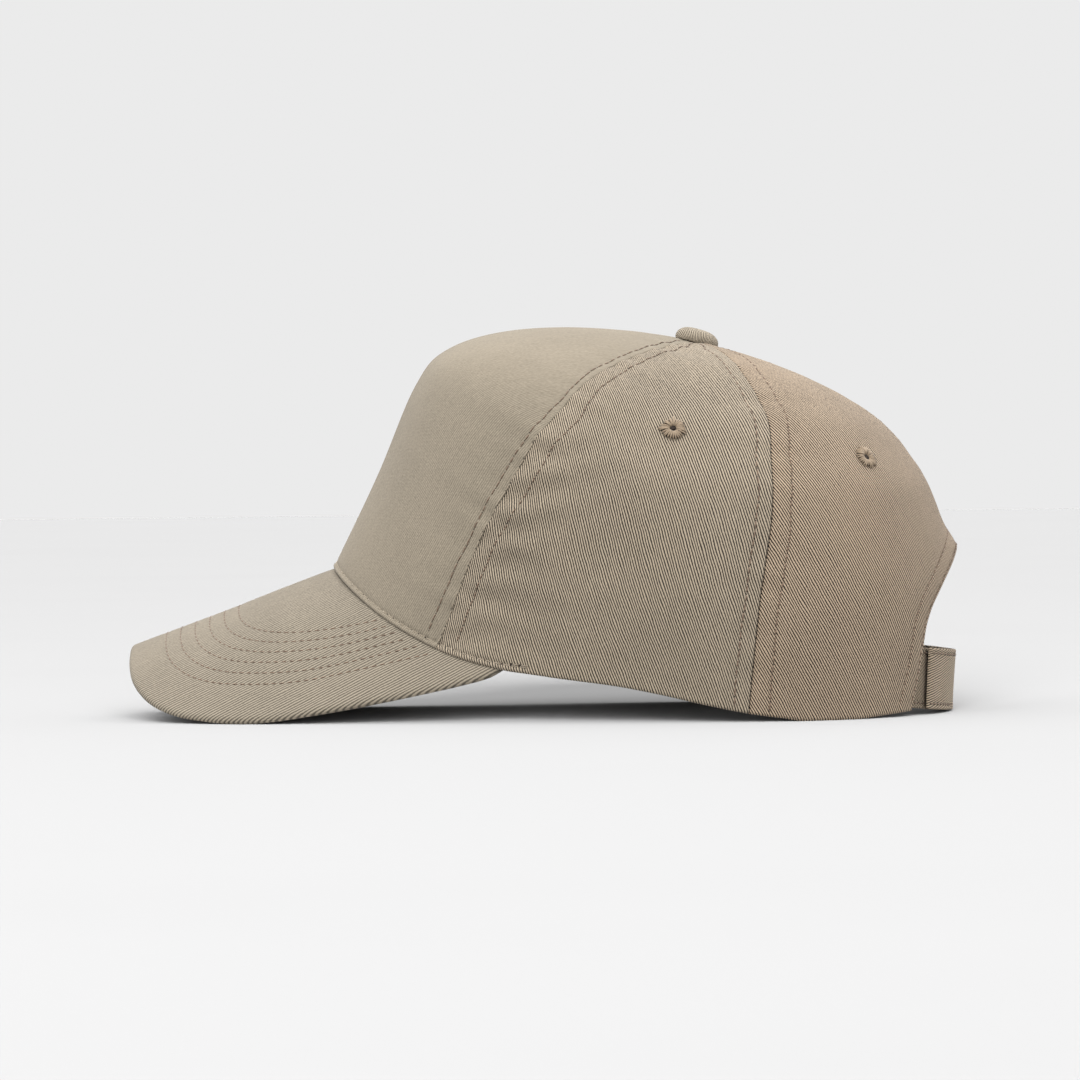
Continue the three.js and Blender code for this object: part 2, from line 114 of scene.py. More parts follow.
# Finish of the cloth
SEAM_SLIT = 0.1               # between the visible edges of two panels
FRONT_SLIT = 0.04             # the same at the front seam
EDGE_ROUND = 0.6              # radius of a turned cloth edge
RIM_ROUND = 0.9
STITCH_PITCH = 3.0
STITCH_LENGTH = 2.25
STITCH_LIFT = 0.1
STITCH_DIVE = 0.24            # how far the ends of a stitch go into the cloth
THREAD_RADIUS = 0.17
THREAD_SIDES = 6
# gems of painted shade in the needle holes: their radius, and how far they sit in the cloth
HOLE_RADIUS = 0.23
HOLE_SINK = 0.06
GROOVE_DEPTH = 0.17
GROOVE_WIDTH = 0.6
ROW_WANDER = 0.2              # how far a row strays from its line
ROW_FRONT = 4.3               # front seam to its row on the front panel
ROW_SIDE = 6.0
ROW_BEFORE = 5.0              # back seam to its row on the side panel
ROW_BEHIND = 6.3
ROW_CENTRE = 5.2
ROW_TOP = 5.72                # step where the rows beside the seams end
ROW_JOINT = 2.1               # peak joint to the row above it
JOINT_END = 53.7              # angle where that row ends
JOINT_TWICE = 49.5            # angle from which it is sewn twice
JOINT_LIFT = 0.2
# radius of that row's gems of painted shade in its needle holes
JOINT_HOLE = 0.36
JOINT_DIP = 0.55              # groove under that row, and the puffed strip below it
JOINT_PUFF = 0.45
JOINT_SINK = 1.6              # how far the peak's cloth turns down into the joint
JOINT_SINK_REACH = 1.15
PALE_TOP = 2.6                # step where the pale row in the front seam ends
PALE_INSET = 0.12             # angle by which it keeps to the front panel
SLIT_SHADE_PITCH = 0.9               # dark gems of painted shade along the back seam's slit
SLIT_SHADE_DEPTH = 0.5
SLIT_SHADE_RADIUS = 0.26
SLIT_SHADE_TOP = 4.6
ROW_HEM = 1.4                 # edge of the back opening to its outer row
ROW_HEM_IN = 7.0
ROW_STRAP = 1.8
ROW_COUNT = 6                 # rows of stitches round the peak
ROW_FIRST = 12.3              # tip of the peak to the first row
ROW_GAP = 4.8
ROW_SPREAD = 0.895            # width of the first row as a share of the peak's
ROW_NARROW = 0.031
ROW_CLEAR = 0.8               # least gap between a row on the peak and the crown
PEAK_MARGIN = 3.2             # strip along the peak's edge that has its own rows
UNEVEN = 0.16                 # height of the soft waves in the crown's cloth
PEAK_UNEVEN = 0.12
QUILT = 0.1                   # broad dip along the peak's rows, and its reach
QUILT_REACH = 2.0
PUFF = 0.12                   # height of the allowances between a seam and its row
RIPPLE = 0.3                  # gathers of the side panels beside the front seam
RIPPLE_AT = 7
RIPPLE_REACH = 13
RIPPLE_TOP = 3.2
SEAM_RISE = 0.24              # step at the back seam: height and reach on its two sides
SEAM_RISE_REACH = 2.6
SEAM_FALL = 0.4
SEAM_FALL_REACH = 2.2
SEAM_FADE = 5.3               # step where it has gone, and over how many steps it goes
SEAM_FADE_SPAN = 1.6
FRONT_ROUND = 0.16

# Puckers beside each row
PUCKERS = {
    # row: height, reach
    "front": (0.24, 9),
    "side": (0.3, 11),
    "before": (0.14, 7),
    "behind": (0.16, 8),
    "centre": (0.16, 7),
}

# Crown sections, a row per step: shares of the sizes above, then how square the plan is
SECTIONS = [
    # front, frontUp, side, sideUp, back, backUp, frontSquare, backSquare
    [1.000, 0.0000, 1.000, 0.000, 0.990, 0.000, 2.2, 2.1],
    [0.879, 0.4100, 0.990, 0.281, 1.012, 0.340, 2.3, 2.1],
    [0.771, 0.8156, 0.930, 0.548, 0.940, 0.540, 2.4, 2.1],
    [0.684, 0.9740, 0.845, 0.678, 0.853, 0.668, 2.4, 2.1],
    [0.516, 1.0550, 0.701, 0.812, 0.697, 0.794, 2.3, 2.1],
    [0.273, 1.0660, 0.415, 0.950, 0.401, 0.909, 2.1, 2.0],
    [0.000, 1.0000, 0.000, 1.000, 0.000, 1.000, 2.0, 2.0],
]

# Angle of the front and of the back seam at each step
FRONT_SEAM = [35.2, 41.2, 49.5, 53.3, 55.5, 63.0, 78.0]
BACK_SEAM = [99.5, 102.3, 106.8, 108.6, 111.2, 110.0, 107.0]

# How far the rows beside the front seam keep from it at each step, as shares
FRONT_ROW = [1.25, 0.93, 0.79, 0.56, 0.50, 0.60, 0.60]
SIDE_ROW = [0.97, 1.00, 1.17, 1.20, 0.90, 0.75, 0.70]

# Height of the rim behind the peak, as a share of its height at the peak's end
RIM = [
    # angle, share
    [50, 1.00], [60, 0.86], [70, 0.73], [80, 0.55], [90, 0.34], [100, 0.16],
    [107, 0.07], [113, 0.00], [124, 0.00], [135, 0.06], [145, 0.11], [180, 0.11],
]

# Edge of the back opening, as shares of its height in steps and of its half angle
ARCH = [
    # up, across
    [0.00, 1.06], [0.18, 0.99], [0.35, 0.945], [0.47, 0.91], [0.57, 0.845],
    [0.68, 0.72], [0.77, 0.605], [0.85, 0.48], [0.94, 0.30], [1.00, 0.00],
]

# Outline of the peak, from the tip back to its end
PEAK_EDGE = [
    # ahead, halfWidth
    [1.000, 0.000], [0.999, 0.166], [0.994, 0.325], [0.982, 0.443],
    [0.961, 0.531], [0.923, 0.622], [0.861, 0.707], [0.776, 0.779],
    [0.691, 0.831], [0.607, 0.868], [0.483, 0.904], [0.359, 0.934],
    [0.235, 0.961], [0.111, 0.983], [0.041, 0.990], [0.003, 0.982],
]

# Soft folds of the side panels beside the front seam
FOLDS = [
    # angle, step, length, width, slant, depth
    [51.0, 0.95, 0.94, 1.00, -0.10, 1.0],
    [49.0, 0.58, 1.06, 0.91, 0.05, 1.0],
    [46.0, 0.25, 0.88, 0.91, 0.10, 0.67],
    [60.0, 1.25, 1.00, 1.27, -0.25, 0.56],
]

# Angle of the twill's ribs on each cloth
RIBS = {"front": 78, "side": 124, "back": 126, "peak": 9, "button": 75, "tab": 137, "band": 14}

EYELETS = {
    # panel: angle, step
    "side": (81.9, 3.45),
    "back": (138.2, 3.04),
}


# The crown's surface
def ease(t):
    u = np.clip(t, 0, 1)
    return u * u * (3 - 2 * u)


def hump(distance, reach):
    """One at no distance, and little past the reach."""
    return np.exp(-((distance / reach) ** 2))


def read(xs, ys, at):
    """A value from a table with rising xs, smooth through its rows."""
    xs = np.asarray(xs, float)
    ys = np.asarray(ys, float)
    chord = np.diff(ys) / np.diff(xs)
    slope = np.empty_like(ys)
    slope[0], slope[-1] = chord[0], chord[-1]
    both = chord[:-1] * chord[1:] > 0
    total = np.where(both, chord[:-1] + chord[1:], 1)
    slope[1:-1] = np.where(both, 2 * chord[:-1] * chord[1:] / total, 0)
    x = np.clip(at, xs[0], xs[-1])
    i = np.clip(np.searchsorted(xs, x) - 1, 0, len(xs) - 2)
    span = np.diff(xs)[i]
    t = (x - xs[i]) / span
    a, b = slope[i] * span, slope[i + 1] * span
    rise = np.diff(ys)[i]
    return ys[i] + a * t + (3 * rise - 2 * a - b) * t**2 + (a + b - 2 * rise) * t**3


def front_seam(step):
    return read(range(7), FRONT_SEAM, step)


def back_seam(step):
    return read(range(7), BACK_SEAM, step)


def arch_edge(step):
    up, across = np.array(ARCH).T
    return 180 - OPENING_ANGLE * read(up, across, np.asarray(step) / OPENING_STEP)


def section_radius(angle, i):
    row = SECTIONS[i]
    if row[2] == 0:
        return np.zeros_like(angle)
    ahead = np.cos(angle) > 0
    half = np.where(ahead, row[0] * CROWN_FRONT, row[4] * CROWN_BACK)
    power = np.where(ahead, row[6], row[7])
    c = np.abs(np.cos(angle)) / half
    s = np.abs(np.sin(angle)) / (row[2] * CROWN_WIDTH)
    return (c**power + s**power) ** (-1 / power)


def plan(angle, radius):
    return radius * np.sin(angle), -radius * np.cos(angle)


END_X, END_Y = plan(PEAK_END * RAD, float(section_radius(np.array(PEAK_END * RAD), 0)))


def peak_top(x, y):
    return PEAK_ROOT + PEAK_SLOPE * (y + CROWN_FRONT) - PEAK_DROP * (x / END_X) ** 2


def away(angle):
    turn = np.abs(angle / RAD) % 360
    return np.where(turn > 180, 360 - turn, turn)


def rim_height(angle, x, y):
    turn = away(angle)
    fade = np.clip(1 - (turn - RIM_LEVEL) / 6, 0, None)
    change = peak_top(x, y) - peak_top(*plan(angle, section_radius(angle, 0)))
    end = np.array(RIM_LEVEL * RAD)
    level = peak_top(*plan(end, section_radius(end, 0))) + PEAK_GAP
    turns, shares = np.array(RIM).T
    behind = read(turns, shares, turn) * level + fade * change
    return np.where(turn <= RIM_LEVEL, peak_top(x, y) + PEAK_GAP, behind)


def section_point(angle, i):
    row = SECTIONS[i]
    end = np.where(np.cos(angle) > 0, row[1], row[5])
    up = row[3] + (end - row[3]) * np.cos(angle) ** 2
    foot = rim_height(angle, *plan(angle, section_radius(angle, 0)))
    return section_radius(angle, i), foot + up * (CROWN_TOP - foot)


def bare(angle, step):
    """The crown before seams and folds, at an angle from the front and a step up it."""
    angle, step = np.broadcast_arrays(np.asarray(angle, float), np.asarray(step, float))
    rows = [section_point(angle, i) for i in range(7)]
    over = section_point(angle + math.pi, 5)
    rows.append((-over[0], over[1]))
    rows.insert(0, tuple(2 * a - b for a, b in zip(rows[0], rows[1])))
    table = np.array(rows)
    i = np.clip(np.floor(step), 0, 5).astype(int)
    t = step - i

    def curve(values):
        p, q, r, s = (np.take_along_axis(values, (i + k)[None], 0)[0] for k in range(4))
        a = -p + q * 3 - r * 3 + s
        b = p * 2 - q * 5 + r * 4 - s
        return 0.5 * (2 * q + (r - p) * t + b * t**2 + a * t**3)

    x, y = plan(angle, curve(table[:, 0]))
    return np.stack([x, y, curve(table[:, 1])], -1)


def unit(v):
    return v / np.linalg.norm(v, axis=-1, keepdims=True)


def normal(angle, step):
    e = 0.004
    along = bare(angle + e, step) - bare(angle - e, step)
    up = bare(angle, step + 0.02) - bare(angle, np.maximum(0, step - 0.02))
    return unit(np.cross(along, up))


def sink(angle, step):
    """How far the cloth lies below the bare crown, at seams and in folds."""
    p = bare(angle, step)
    r = np.hypot(p[..., 0], p[..., 1])
    turn = away(angle)
    rise = np.clip((TOP_STEP - step) / 1.2, 0, 1)
    depth = np.zeros_like(r)
    for seam, holds in ((front_seam(step), 1), (back_seam(step), 1), (180, step > OPENING_STEP)):
        d = (turn - seam) * RAD * r
        depth += SEAM_DIP * rise * holds * hump(d, SEAM_REACH)
    for at, row, length, width, slant, deep in FOLDS:
        a = (turn - at) * RAD * r
        b = (step - row) * STEP_HEIGHT - slant * a
        fits = np.where(turn > front_seam(step), FOLD_DEPTH * deep, 0)
        depth += fits * np.exp(-((a / length / FOLD_LENGTH) ** 2) - (b / width / FOLD_WIDTH) ** 2)
    up, across = np.array(ARCH)[::-1].T
    over = OPENING_STEP * read(across, up, (180 - turn) / OPENING_ANGLE)
    above = (step - over) * STEP_HEIGHT
    flare = ARCH_FLARE * ease((turn - FLARE_FROM) / FLARE_SPAN) * hump(above, ARCH_REACH)
    return (depth - flare) * np.minimum(1, step / 0.15)


def crown(angle, step):
    drop = np.asarray(sink(angle, step))
    return bare(angle, step) - normal(angle, step) * drop[..., None]


def rim_point(angle, inset):
    angle = np.asarray(angle, float)
    p = bare(angle, np.zeros_like(angle))
    n = normal(angle, np.zeros_like(angle))
    n[..., 2] = 0
    p = p - unit(n) * np.asarray(inset)[..., None]
    p[..., 2] = rim_height(angle, p[..., 0], p[..., 1])
    return p


# Lines on the crown, and uneven cloth
class Line:
    """A line of points, which gives for any point its distance and the run to its foot."""

    def __init__(self, points):
        self.points = points
        self.runs = np.concatenate([[0], np.cumsum(np.linalg.norm(np.diff(points, axis=0), axis=1))])

    def near(self, where):
        start, reach = self.points[:-1], np.diff(self.points, axis=0)
        square = (reach * reach).sum(1)
        gaps, runs = [], []
        for part in np.array_split(where, max(1, len(where) // 1500)):
            to = part[:, None] - start
            t = np.clip((to * reach).sum(2) / square, 0, 1)
            gap = ((to - t[..., None] * reach) ** 2).sum(2)
            k = gap.argmin(1)
            here = np.arange(len(part))
            gaps.append(np.sqrt(gap[here, k]))
            runs.append(self.runs[k] + t[here, k] * np.sqrt(square[k]))
        return np.concatenate(gaps), np.concatenate(runs)


def waves(points, seed, low, high, count=12):
    """A soft uneven value at each point, with wavelengths from low to high."""
    rng = np.random.default_rng(seed)
    way = unit(rng.normal(size=(count, points.shape[1])))
    way *= 2 * math.pi / rng.uniform(low, high, (count, 1))
    phase = rng.uniform(0, 2 * math.pi, count)
    return np.cos(points @ way.T + phase).sum(1) / math.sqrt(count)


def rounding(distance, radius):
    """How far a face falls back at a distance from its rounded edge."""
    t = np.clip(1 - distance / radius, 0, 1)
    return radius * (1 - np.sqrt(1 - t * t))


SEAM_STEPS = np.linspace(0, TOP_STEP, 240)


def seam_line(angles, steps=SEAM_STEPS):
    return Line(crown(angles * RAD, steps))


front_line = seam_line(front_seam(SEAM_STEPS))
back_line = seam_line(back_seam(SEAM_STEPS))
above_arch = np.linspace(OPENING_STEP, TOP_STEP, 160)
centre_line = seam_line(np.full(160, 180.0), above_arch)
arch_steps = OPENING_STEP * (1 - np.linspace(1, 0, 120) ** 1.7)
arch_line = seam_line(arch_edge(arch_steps), arch_steps)
rim_turns = np.linspace(0, 180, 420)
rim_line = Line(rim_point(rim_turns * RAD, np.zeros(420)))


def widths(from_seam, to_seam):
    """Width of a panel at each of the seam steps."""
    out = []
    for step in SEAM_STEPS:
        turns = np.linspace(from_seam(step), to_seam(step), 24) * RAD
        p = bare(turns, np.full(24, step))
        out.append(np.linalg.norm(np.diff(p, axis=0), axis=1).sum())
    return np.array(out)


def row_offset(offset, width, step, shares=None):
    """A row of stitches roughly keeps its distance from the seam, and closes in near the top."""
    if shares:
        offset = offset * read(range(7), shares, step)
    strays = np.sin(step * 5.1 + width[0]) + 0.6 * np.sin(step * 11.3 + 2 * width[0])
    wandering = offset + ROW_WANDER * strays * np.clip(TOP_STEP - step, 0, 1)
    return np.minimum(wandering, 0.3 * np.interp(step, SEAM_STEPS, width))


front_width = widths(lambda s: -front_seam(s), front_seam)
side_width = widths(front_seam, back_seam)
back_width = widths(back_seam, lambda s: np.where(s < OPENING_STEP, arch_edge(s), 180.0))


def beat(run):
    """How hard a row of stitches pulls at the cloth along its run."""
    return 0.52 - 0.48 * np.cos(2 * math.pi * run / STITCH_PITCH)


def groove(distance, run):
    """Depth of the groove that a row of stitches draws into the cloth."""
    return GROOVE_DEPTH * beat(run) * hump(distance, GROOVE_WIDTH)


def sewn(distance, run, offset, seed, pucker, reach):
    """Relief beside a seam: puffed allowances, the groove of the stitches, and puckers."""
    puff = PUFF * np.sin(math.pi * np.clip(distance / np.maximum(offset, 0.1), 0, 1))
    pinch = waves(run[:, None], seed, 6.5, 14) * pucker * np.exp(-distance / reach)
    return puff - groove(distance - offset, run) + pinch * ease(offset / 4)


def front_relief(kind, points, step, seed):
    """Relief beside the front seam, on either side of it."""
    gap, run = front_line.near(points)
    if kind == "front":
        offset = row_offset(ROW_FRONT, front_width, step, FRONT_ROW)
        height = sewn(gap, run, offset, seed, *PUCKERS[kind])
    else:
        offset = row_offset(ROW_SIDE, side_width, step, SIDE_ROW)
        height = sewn(gap, run, offset, seed, *PUCKERS[kind])
        ripple = waves(points[:, 2:] - 0.12 * points[:, 1:2], seed + 5, 9, 19, 7)
        height += RIPPLE * ripple * hump(gap - RIPPLE_AT, RIPPLE_REACH) * ease(RIPPLE_TOP - step)
    return height - rounding(gap, FRONT_ROUND)


def back_relief(kind, points, step, seed):
    """Relief beside the back seam, where the side panel stands over the back one."""
    gap, run = back_line.near(points)
    fade = np.clip((SEAM_FADE - step) / SEAM_FADE_SPAN, 0, 1)
    if kind == "side":
        offset = row_offset(ROW_BEFORE, side_width, step)
        height = sewn(gap, run, offset, seed, *PUCKERS["before"])
        height += SEAM_RISE * fade * hump(gap, SEAM_RISE_REACH)
    else:
        offset = row_offset(ROW_BEHIND, back_width, step)
        height = sewn(gap, run, offset, seed, *PUCKERS["behind"])
        height -= SEAM_FALL * fade * hump(gap, SEAM_FALL_REACH)
    return height - rounding(gap - SEAM_SLIT / 2, EDGE_ROUND)


def centre_relief(points, step, seed):
    """Relief beside the seam at the very back, and along the edge of the opening."""
    gap, run = centre_line.near(points)
    offset = row_offset(ROW_CENTRE, back_width, step)
    height = sewn(gap, run, offset, seed, *PUCKERS["centre"])
    height *= np.clip((step - OPENING_STEP) * 9, 0, 1)
    height -= rounding(gap - SEAM_SLIT / 2, EDGE_ROUND)
    gap, run = arch_line.near(points)
    for row in (ROW_HEM, ROW_HEM_IN):
        height -= groove(gap - row, run)
    height += 0.2 * ease((ROW_HEM_IN - gap) / 1.5)
    return height - rounding(gap, EDGE_ROUND)


def rim_relief(points):
    """Relief along the rim: the row over the peak's joint and the puffed strip below it."""
    gap, run = rim_line.near(points)
    turn = np.degrees(np.arctan2(points[:, 0], -points[:, 1]))
    held = ease((JOINT_END - turn) / 3)
    change = -JOINT_DIP * beat(run) * hump(gap - ROW_JOINT, GROOVE_WIDTH) * held
    change += JOINT_PUFF * np.sin(math.pi * np.clip(gap / ROW_JOINT, 0, 1)) ** 0.7 * held
    return change - rounding(gap, RIM_ROUND)


def relief(kind, points, step, side):
    """Height of the finished cloth over the crown at points on the wearer's left half."""
    height = UNEVEN * waves(points, 11 + side, 26, 60)
    seed = 3 if side > 0 else 57
    if kind != "back":
        height += front_relief(kind, points, step, seed)
    if kind != "front":
        height += back_relief(kind, points, step, seed + 1)
    if kind == "back":
        height += centre_relief(points, step, seed + 2)
    low = step < 0.4
    if low.any():
        height[low] += rim_relief(points[low])
    return height


# Meshes
AXIS_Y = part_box("peak")[0].y * 1000 + CROWN_FRONT + PEAK_REACH
AXIS_Y -= NOSE_DEPTH * PEAK_THICK * PEAK_SLOPE / math.hypot(1, PEAK_SLOPE)
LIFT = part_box("back_panel_left")[0].z * 1000


def show(thing):
    bpy.context.scene.collection.objects.link(thing)
    return thing


def add_piece(name, points, faces, materials, uv=None, node=None, marks=None):
    """A mesh piece from points in millimetres and groups of faces, riding with the cap."""
    mesh = bpy.data.meshes.new(name)
    placed = (np.asarray(points) + [0, AXIS_Y, LIFT]) / 1000
    mesh.vertices.add(len(placed))
    mesh.vertices.foreach_set("co", placed.ravel())
    corners = np.concatenate([group.ravel() for group in faces])
    counts = np.concatenate([np.full(len(group), group.shape[1]) for group in faces])
    mesh.loops.add(len(corners))
    mesh.loops.foreach_set("vertex_index", corners.astype(np.int32))
    mesh.polygons.add(len(counts))
    starts = np.concatenate([[0], np.cumsum(counts)[:-1]])
    mesh.polygons.foreach_set("loop_start", starts.astype(np.int32))
    if uv is not None:
        layer = mesh.uv_layers.new(name="cloth")
        layer.data.foreach_set("uv", uv[corners].ravel())
    if marks is not None:
        mesh.polygons.foreach_set("material_index", marks.astype(np.int32))
    mesh.update(calc_edges=True)
    mesh.validate()
    mesh.shade_smooth()
    for material in materials:
        mesh.materials.append(material)
    piece = show(bpy.data.objects.new(name, mesh))
    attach(piece, "root")
    if node:
        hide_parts(node)
    return piece


def sheet_faces(rows, cols, flip=False):
    """Faces of a closed sheet between two grids, the first of them facing out."""
    index = np.arange(rows * cols).reshape(rows, cols)
    far = index + rows * cols
    quads = [
        np.stack([index[:-1, :-1], index[:-1, 1:], index[1:, 1:], index[1:, :-1]], -1),
        np.stack([far[:-1, :-1], far[1:, :-1], far[1:, 1:], far[:-1, 1:]], -1),
        np.stack([index[:-1, 0], index[1:, 0], far[1:, 0], far[:-1, 0]], -1),
        np.stack([index[1:, -1], index[:-1, -1], far[:-1, -1], far[1:, -1]], -1),
        np.stack([index[0, 1:], index[0, :-1], far[0, :-1], far[0, 1:]], -1),
        np.stack([index[-1, :-1], index[-1, 1:], far[-1, 1:], far[-1, :-1]], -1),
    ]
    faces = np.concatenate([q.reshape(-1, 4) for q in quads])
    return faces[:, ::-1] if flip else faces


def twill(u, v, rib):
    """Cloth coordinates in millimetres, first across and then along ribs at an angle."""
    c, s = math.cos(rib * RAD), math.sin(rib * RAD)
    return np.stack([v * c - u * s, u * c + v * s], -1)


# Places of a panel's columns from its seams, and of its lowest rows from the rim
EDGE_COLUMNS = [0, 0.12, 0.3, 0.55, 0.9, 1.35, 1.9, 2.5, 3.1, 3.6, 4.0, 4.4, 4.8, 5.2,
                5.7, 6.3, 7.0, 7.8, 8.8, 10.0]
MIDDLE_GAP = 1.8
RIM_ROWS = [0, 0.12, 0.3, 0.6, 0.95, 1.35, 1.7, 2.05, 2.4, 2.8, 3.4, 4.2, 5.1]
ROW_HEIGHT = 1.12


def row_steps(middle, arch):
    """Steps of a panel's rows, from their heights along its middle."""
    fine = np.linspace(0, TOP_STEP, 500)
    line = Line(bare(np.interp(fine, SEAM_STEPS, middle) * RAD, fine))
    count = int((line.runs[-1] - RIM_ROWS[-1]) / ROW_HEIGHT)
    heights = np.concatenate([RIM_ROWS, np.linspace(RIM_ROWS[-1], line.runs[-1], count)[1:]])
    steps = np.interp(heights, line.runs, fine)
    if not arch:
        return steps
    low = steps[steps < 0.78 * OPENING_STEP]
    near = OPENING_STEP * (1 - 0.22 * np.linspace(1, 0, 20) ** 1.6)
    over = OPENING_STEP + (0.3 * np.linspace(0, 1, 10) ** 1.3)[1:]
    return np.concatenate([low, near, over, steps[steps > over[-1] + 0.015]])


def panel(name, kind, node, side, wall, hem, from_seam, to_seam, material):
    """One panel of the crown as a closed cloth with rounded, sewn edges."""
    middle = (from_seam(SEAM_STEPS) + to_seam(SEAM_STEPS)) / 2
    grain = from_seam(SEAM_STEPS) if kind == "back" else middle
    steps = row_steps(middle, kind == "back")
    edge = np.array(EDGE_COLUMNS)
    angles, across = [], []
    wide = 0
    rows = []
    for step in steps:
        turns = np.linspace(float(from_seam(step)), float(to_seam(step)), 90) * RAD
        line = Line(bare(turns, np.full(90, step)))
        rows.append((turns, line.runs))
        wide = max(wide, line.runs[-1])
    inner = int((wide - 2 * edge[-1]) / MIDDLE_GAP)
    first_slit = SEAM_SLIT if kind == "back" else FRONT_SLIT
    last_slit = FRONT_SLIT if kind == "front" else SEAM_SLIT
    for turns, runs in rows:
        total = runs[-1]
        fit = min(1, total / (2.4 * edge[-1]))
        near = first_slit / 2 + edge * fit
        far = total - last_slit / 2 - (edge * fit)[::-1]
        between = np.linspace(near[-1], far[0], inner + 2)[1:-1]
        place = np.concatenate([near, between, far])
        angles.append(np.interp(place, runs, turns))
        across.append(place if kind == "back" else place - total / 2)
    angles, across = np.array(angles), np.array(across)
    count, cols = angles.shape
    grid = np.repeat(steps[:, None], cols, 1)
    flat_angle, flat_step = angles.ravel(), grid.ravel()
    base = crown(flat_angle, flat_step)
    left = base.copy()
    left[:, 0] = np.abs(left[:, 0])
    halves = np.where(base[:, 0] < 0, -1, 1) if kind == "front" else np.full(len(base), side)
    height = np.zeros(len(base))
    for half in (1, -1):
        mine = halves == half
        if mine.any():
            height[mine] = relief(kind, left[mine], flat_step[mine], half)
    n = normal(flat_angle, flat_step)
    outer = base + n * height[:, None]
    turned = np.clip(1 - flat_step / 0.3, 0, 1)
    thick = wall + (hem - wall) * turned
    back = base - n * thick[:, None]
    first = slice(0, cols)
    outer[first] = rim_point(flat_angle[first], np.full(cols, RIM_ROUND))
    back[first] = rim_point(flat_angle[first], np.full(cols, hem - EDGE_ROUND * 0.5))
    points = np.concatenate([outer, back])
    points[:, 0] *= side
    mid = Line(crown(np.interp(steps, SEAM_STEPS, grain) * RAD, steps)).runs
    v = np.repeat(mid[:, None], cols, 1).ravel()
    over = across + wall * np.linspace(-1, 1, cols)
    uv = np.concatenate([twill(out.ravel() * side, v, RIBS[kind]) for out in (across, over)])
    faces = sheet_faces(count, cols, side < 0)
    add_piece(name, points, [faces], [material], uv, node)


# Materials
def new_material(name):
    material = bpy.data.materials.new(name)
    material.use_nodes = True
    tree = material.node_tree
    tree.nodes.clear()
    out = tree.nodes.new("ShaderNodeOutputMaterial")
    shader = tree.nodes.new("ShaderNodeBsdfPrincipled")
    tree.links.new(shader.outputs[0], out.inputs[0])
    return material, tree, shader


class Nodes:
    """Short calls that add nodes to a material and return their outputs."""

    def __init__(self, tree):
        self.tree = tree

    def link(self, value, socket):
        if hasattr(value, "is_output"):
            self.tree.links.new(value, socket)
        else:
            socket.default_value = value

    def math(self, operation, a, b=0.0, c=0.0, clamp=False):
        node = self.tree.nodes.new("ShaderNodeMath")
        node.operation = operation
        node.use_clamp = clamp
        for value, socket in zip((a, b, c), node.inputs):
            self.link(value, socket)
        return node.outputs[0]

    def noise(self, vector, scale, detail=2.0, dimensions="3D"):
        node = self.tree.nodes.new("ShaderNodeTexNoise")
        node.noise_dimensions = dimensions
        self.link(vector, node.inputs["Vector"])
        node.inputs["Scale"].default_value = scale
        node.inputs["Detail"].default_value = detail
        return node.outputs["Fac"]

    def grain(self, vector, across, along, scale, detail):
        """Flat noise that is stretched differently across and along the ribs."""
        node = self.tree.nodes.new("ShaderNodeMapping")
        self.link(vector, node.inputs["Vector"])
        node.inputs["Scale"].default_value = (across, along, 1)
        return self.noise(node.outputs[0], scale, detail, "2D")

    def split(self, vector):
        node = self.tree.nodes.new("ShaderNodeSeparateXYZ")
        self.link(vector, node.inputs[0])
        return node.outputs

    def place(self, kind="Object"):
        return self.tree.nodes.new("ShaderNodeTexCoord").outputs[kind]

    def mix(self, factor, a, b):
        node = self.tree.nodes.new("ShaderNodeMix")
        node.data_type = "RGBA"
        self.link(factor, node.inputs["Factor"])
        self.link(a, node.inputs["A"])
        self.link(b, node.inputs["B"])
        return node.outputs["Result"]

    def fade(self, value, start, end, first, last):
        node = self.tree.nodes.new("ShaderNodeMapRange")
        node.interpolation_type = "SMOOTHSTEP"
        for number, item in enumerate((value, start, end, first, last)):
            self.link(item, node.inputs[number])
        return node.outputs[0]

    def bump(self, height, strength, distance):
        node = self.tree.nodes.new("ShaderNodeBump")
        node.inputs["Strength"].default_value = strength
        node.inputs["Distance"].default_value = distance
        self.link(height, node.inputs["Height"])
        return node.outputs[0]


CLOTH_GAIN = 0.36             # surface colour as a share of the colour that it shows


def tint(red, green, blue, gain=CLOTH_GAIN):
    """The surface colour that shows as a screen colour in this light."""
    channels = []
    for value in (red, green, blue):
        share = value / 255
        linear = share / 12.92 if share <= 0.04045 else ((share + 0.055) / 1.055) ** 2.4
        channels.append(linear * gain)
    return (*channels, 1.0)


RIB_PITCH = 0.77
YARN_PITCH = 1.25


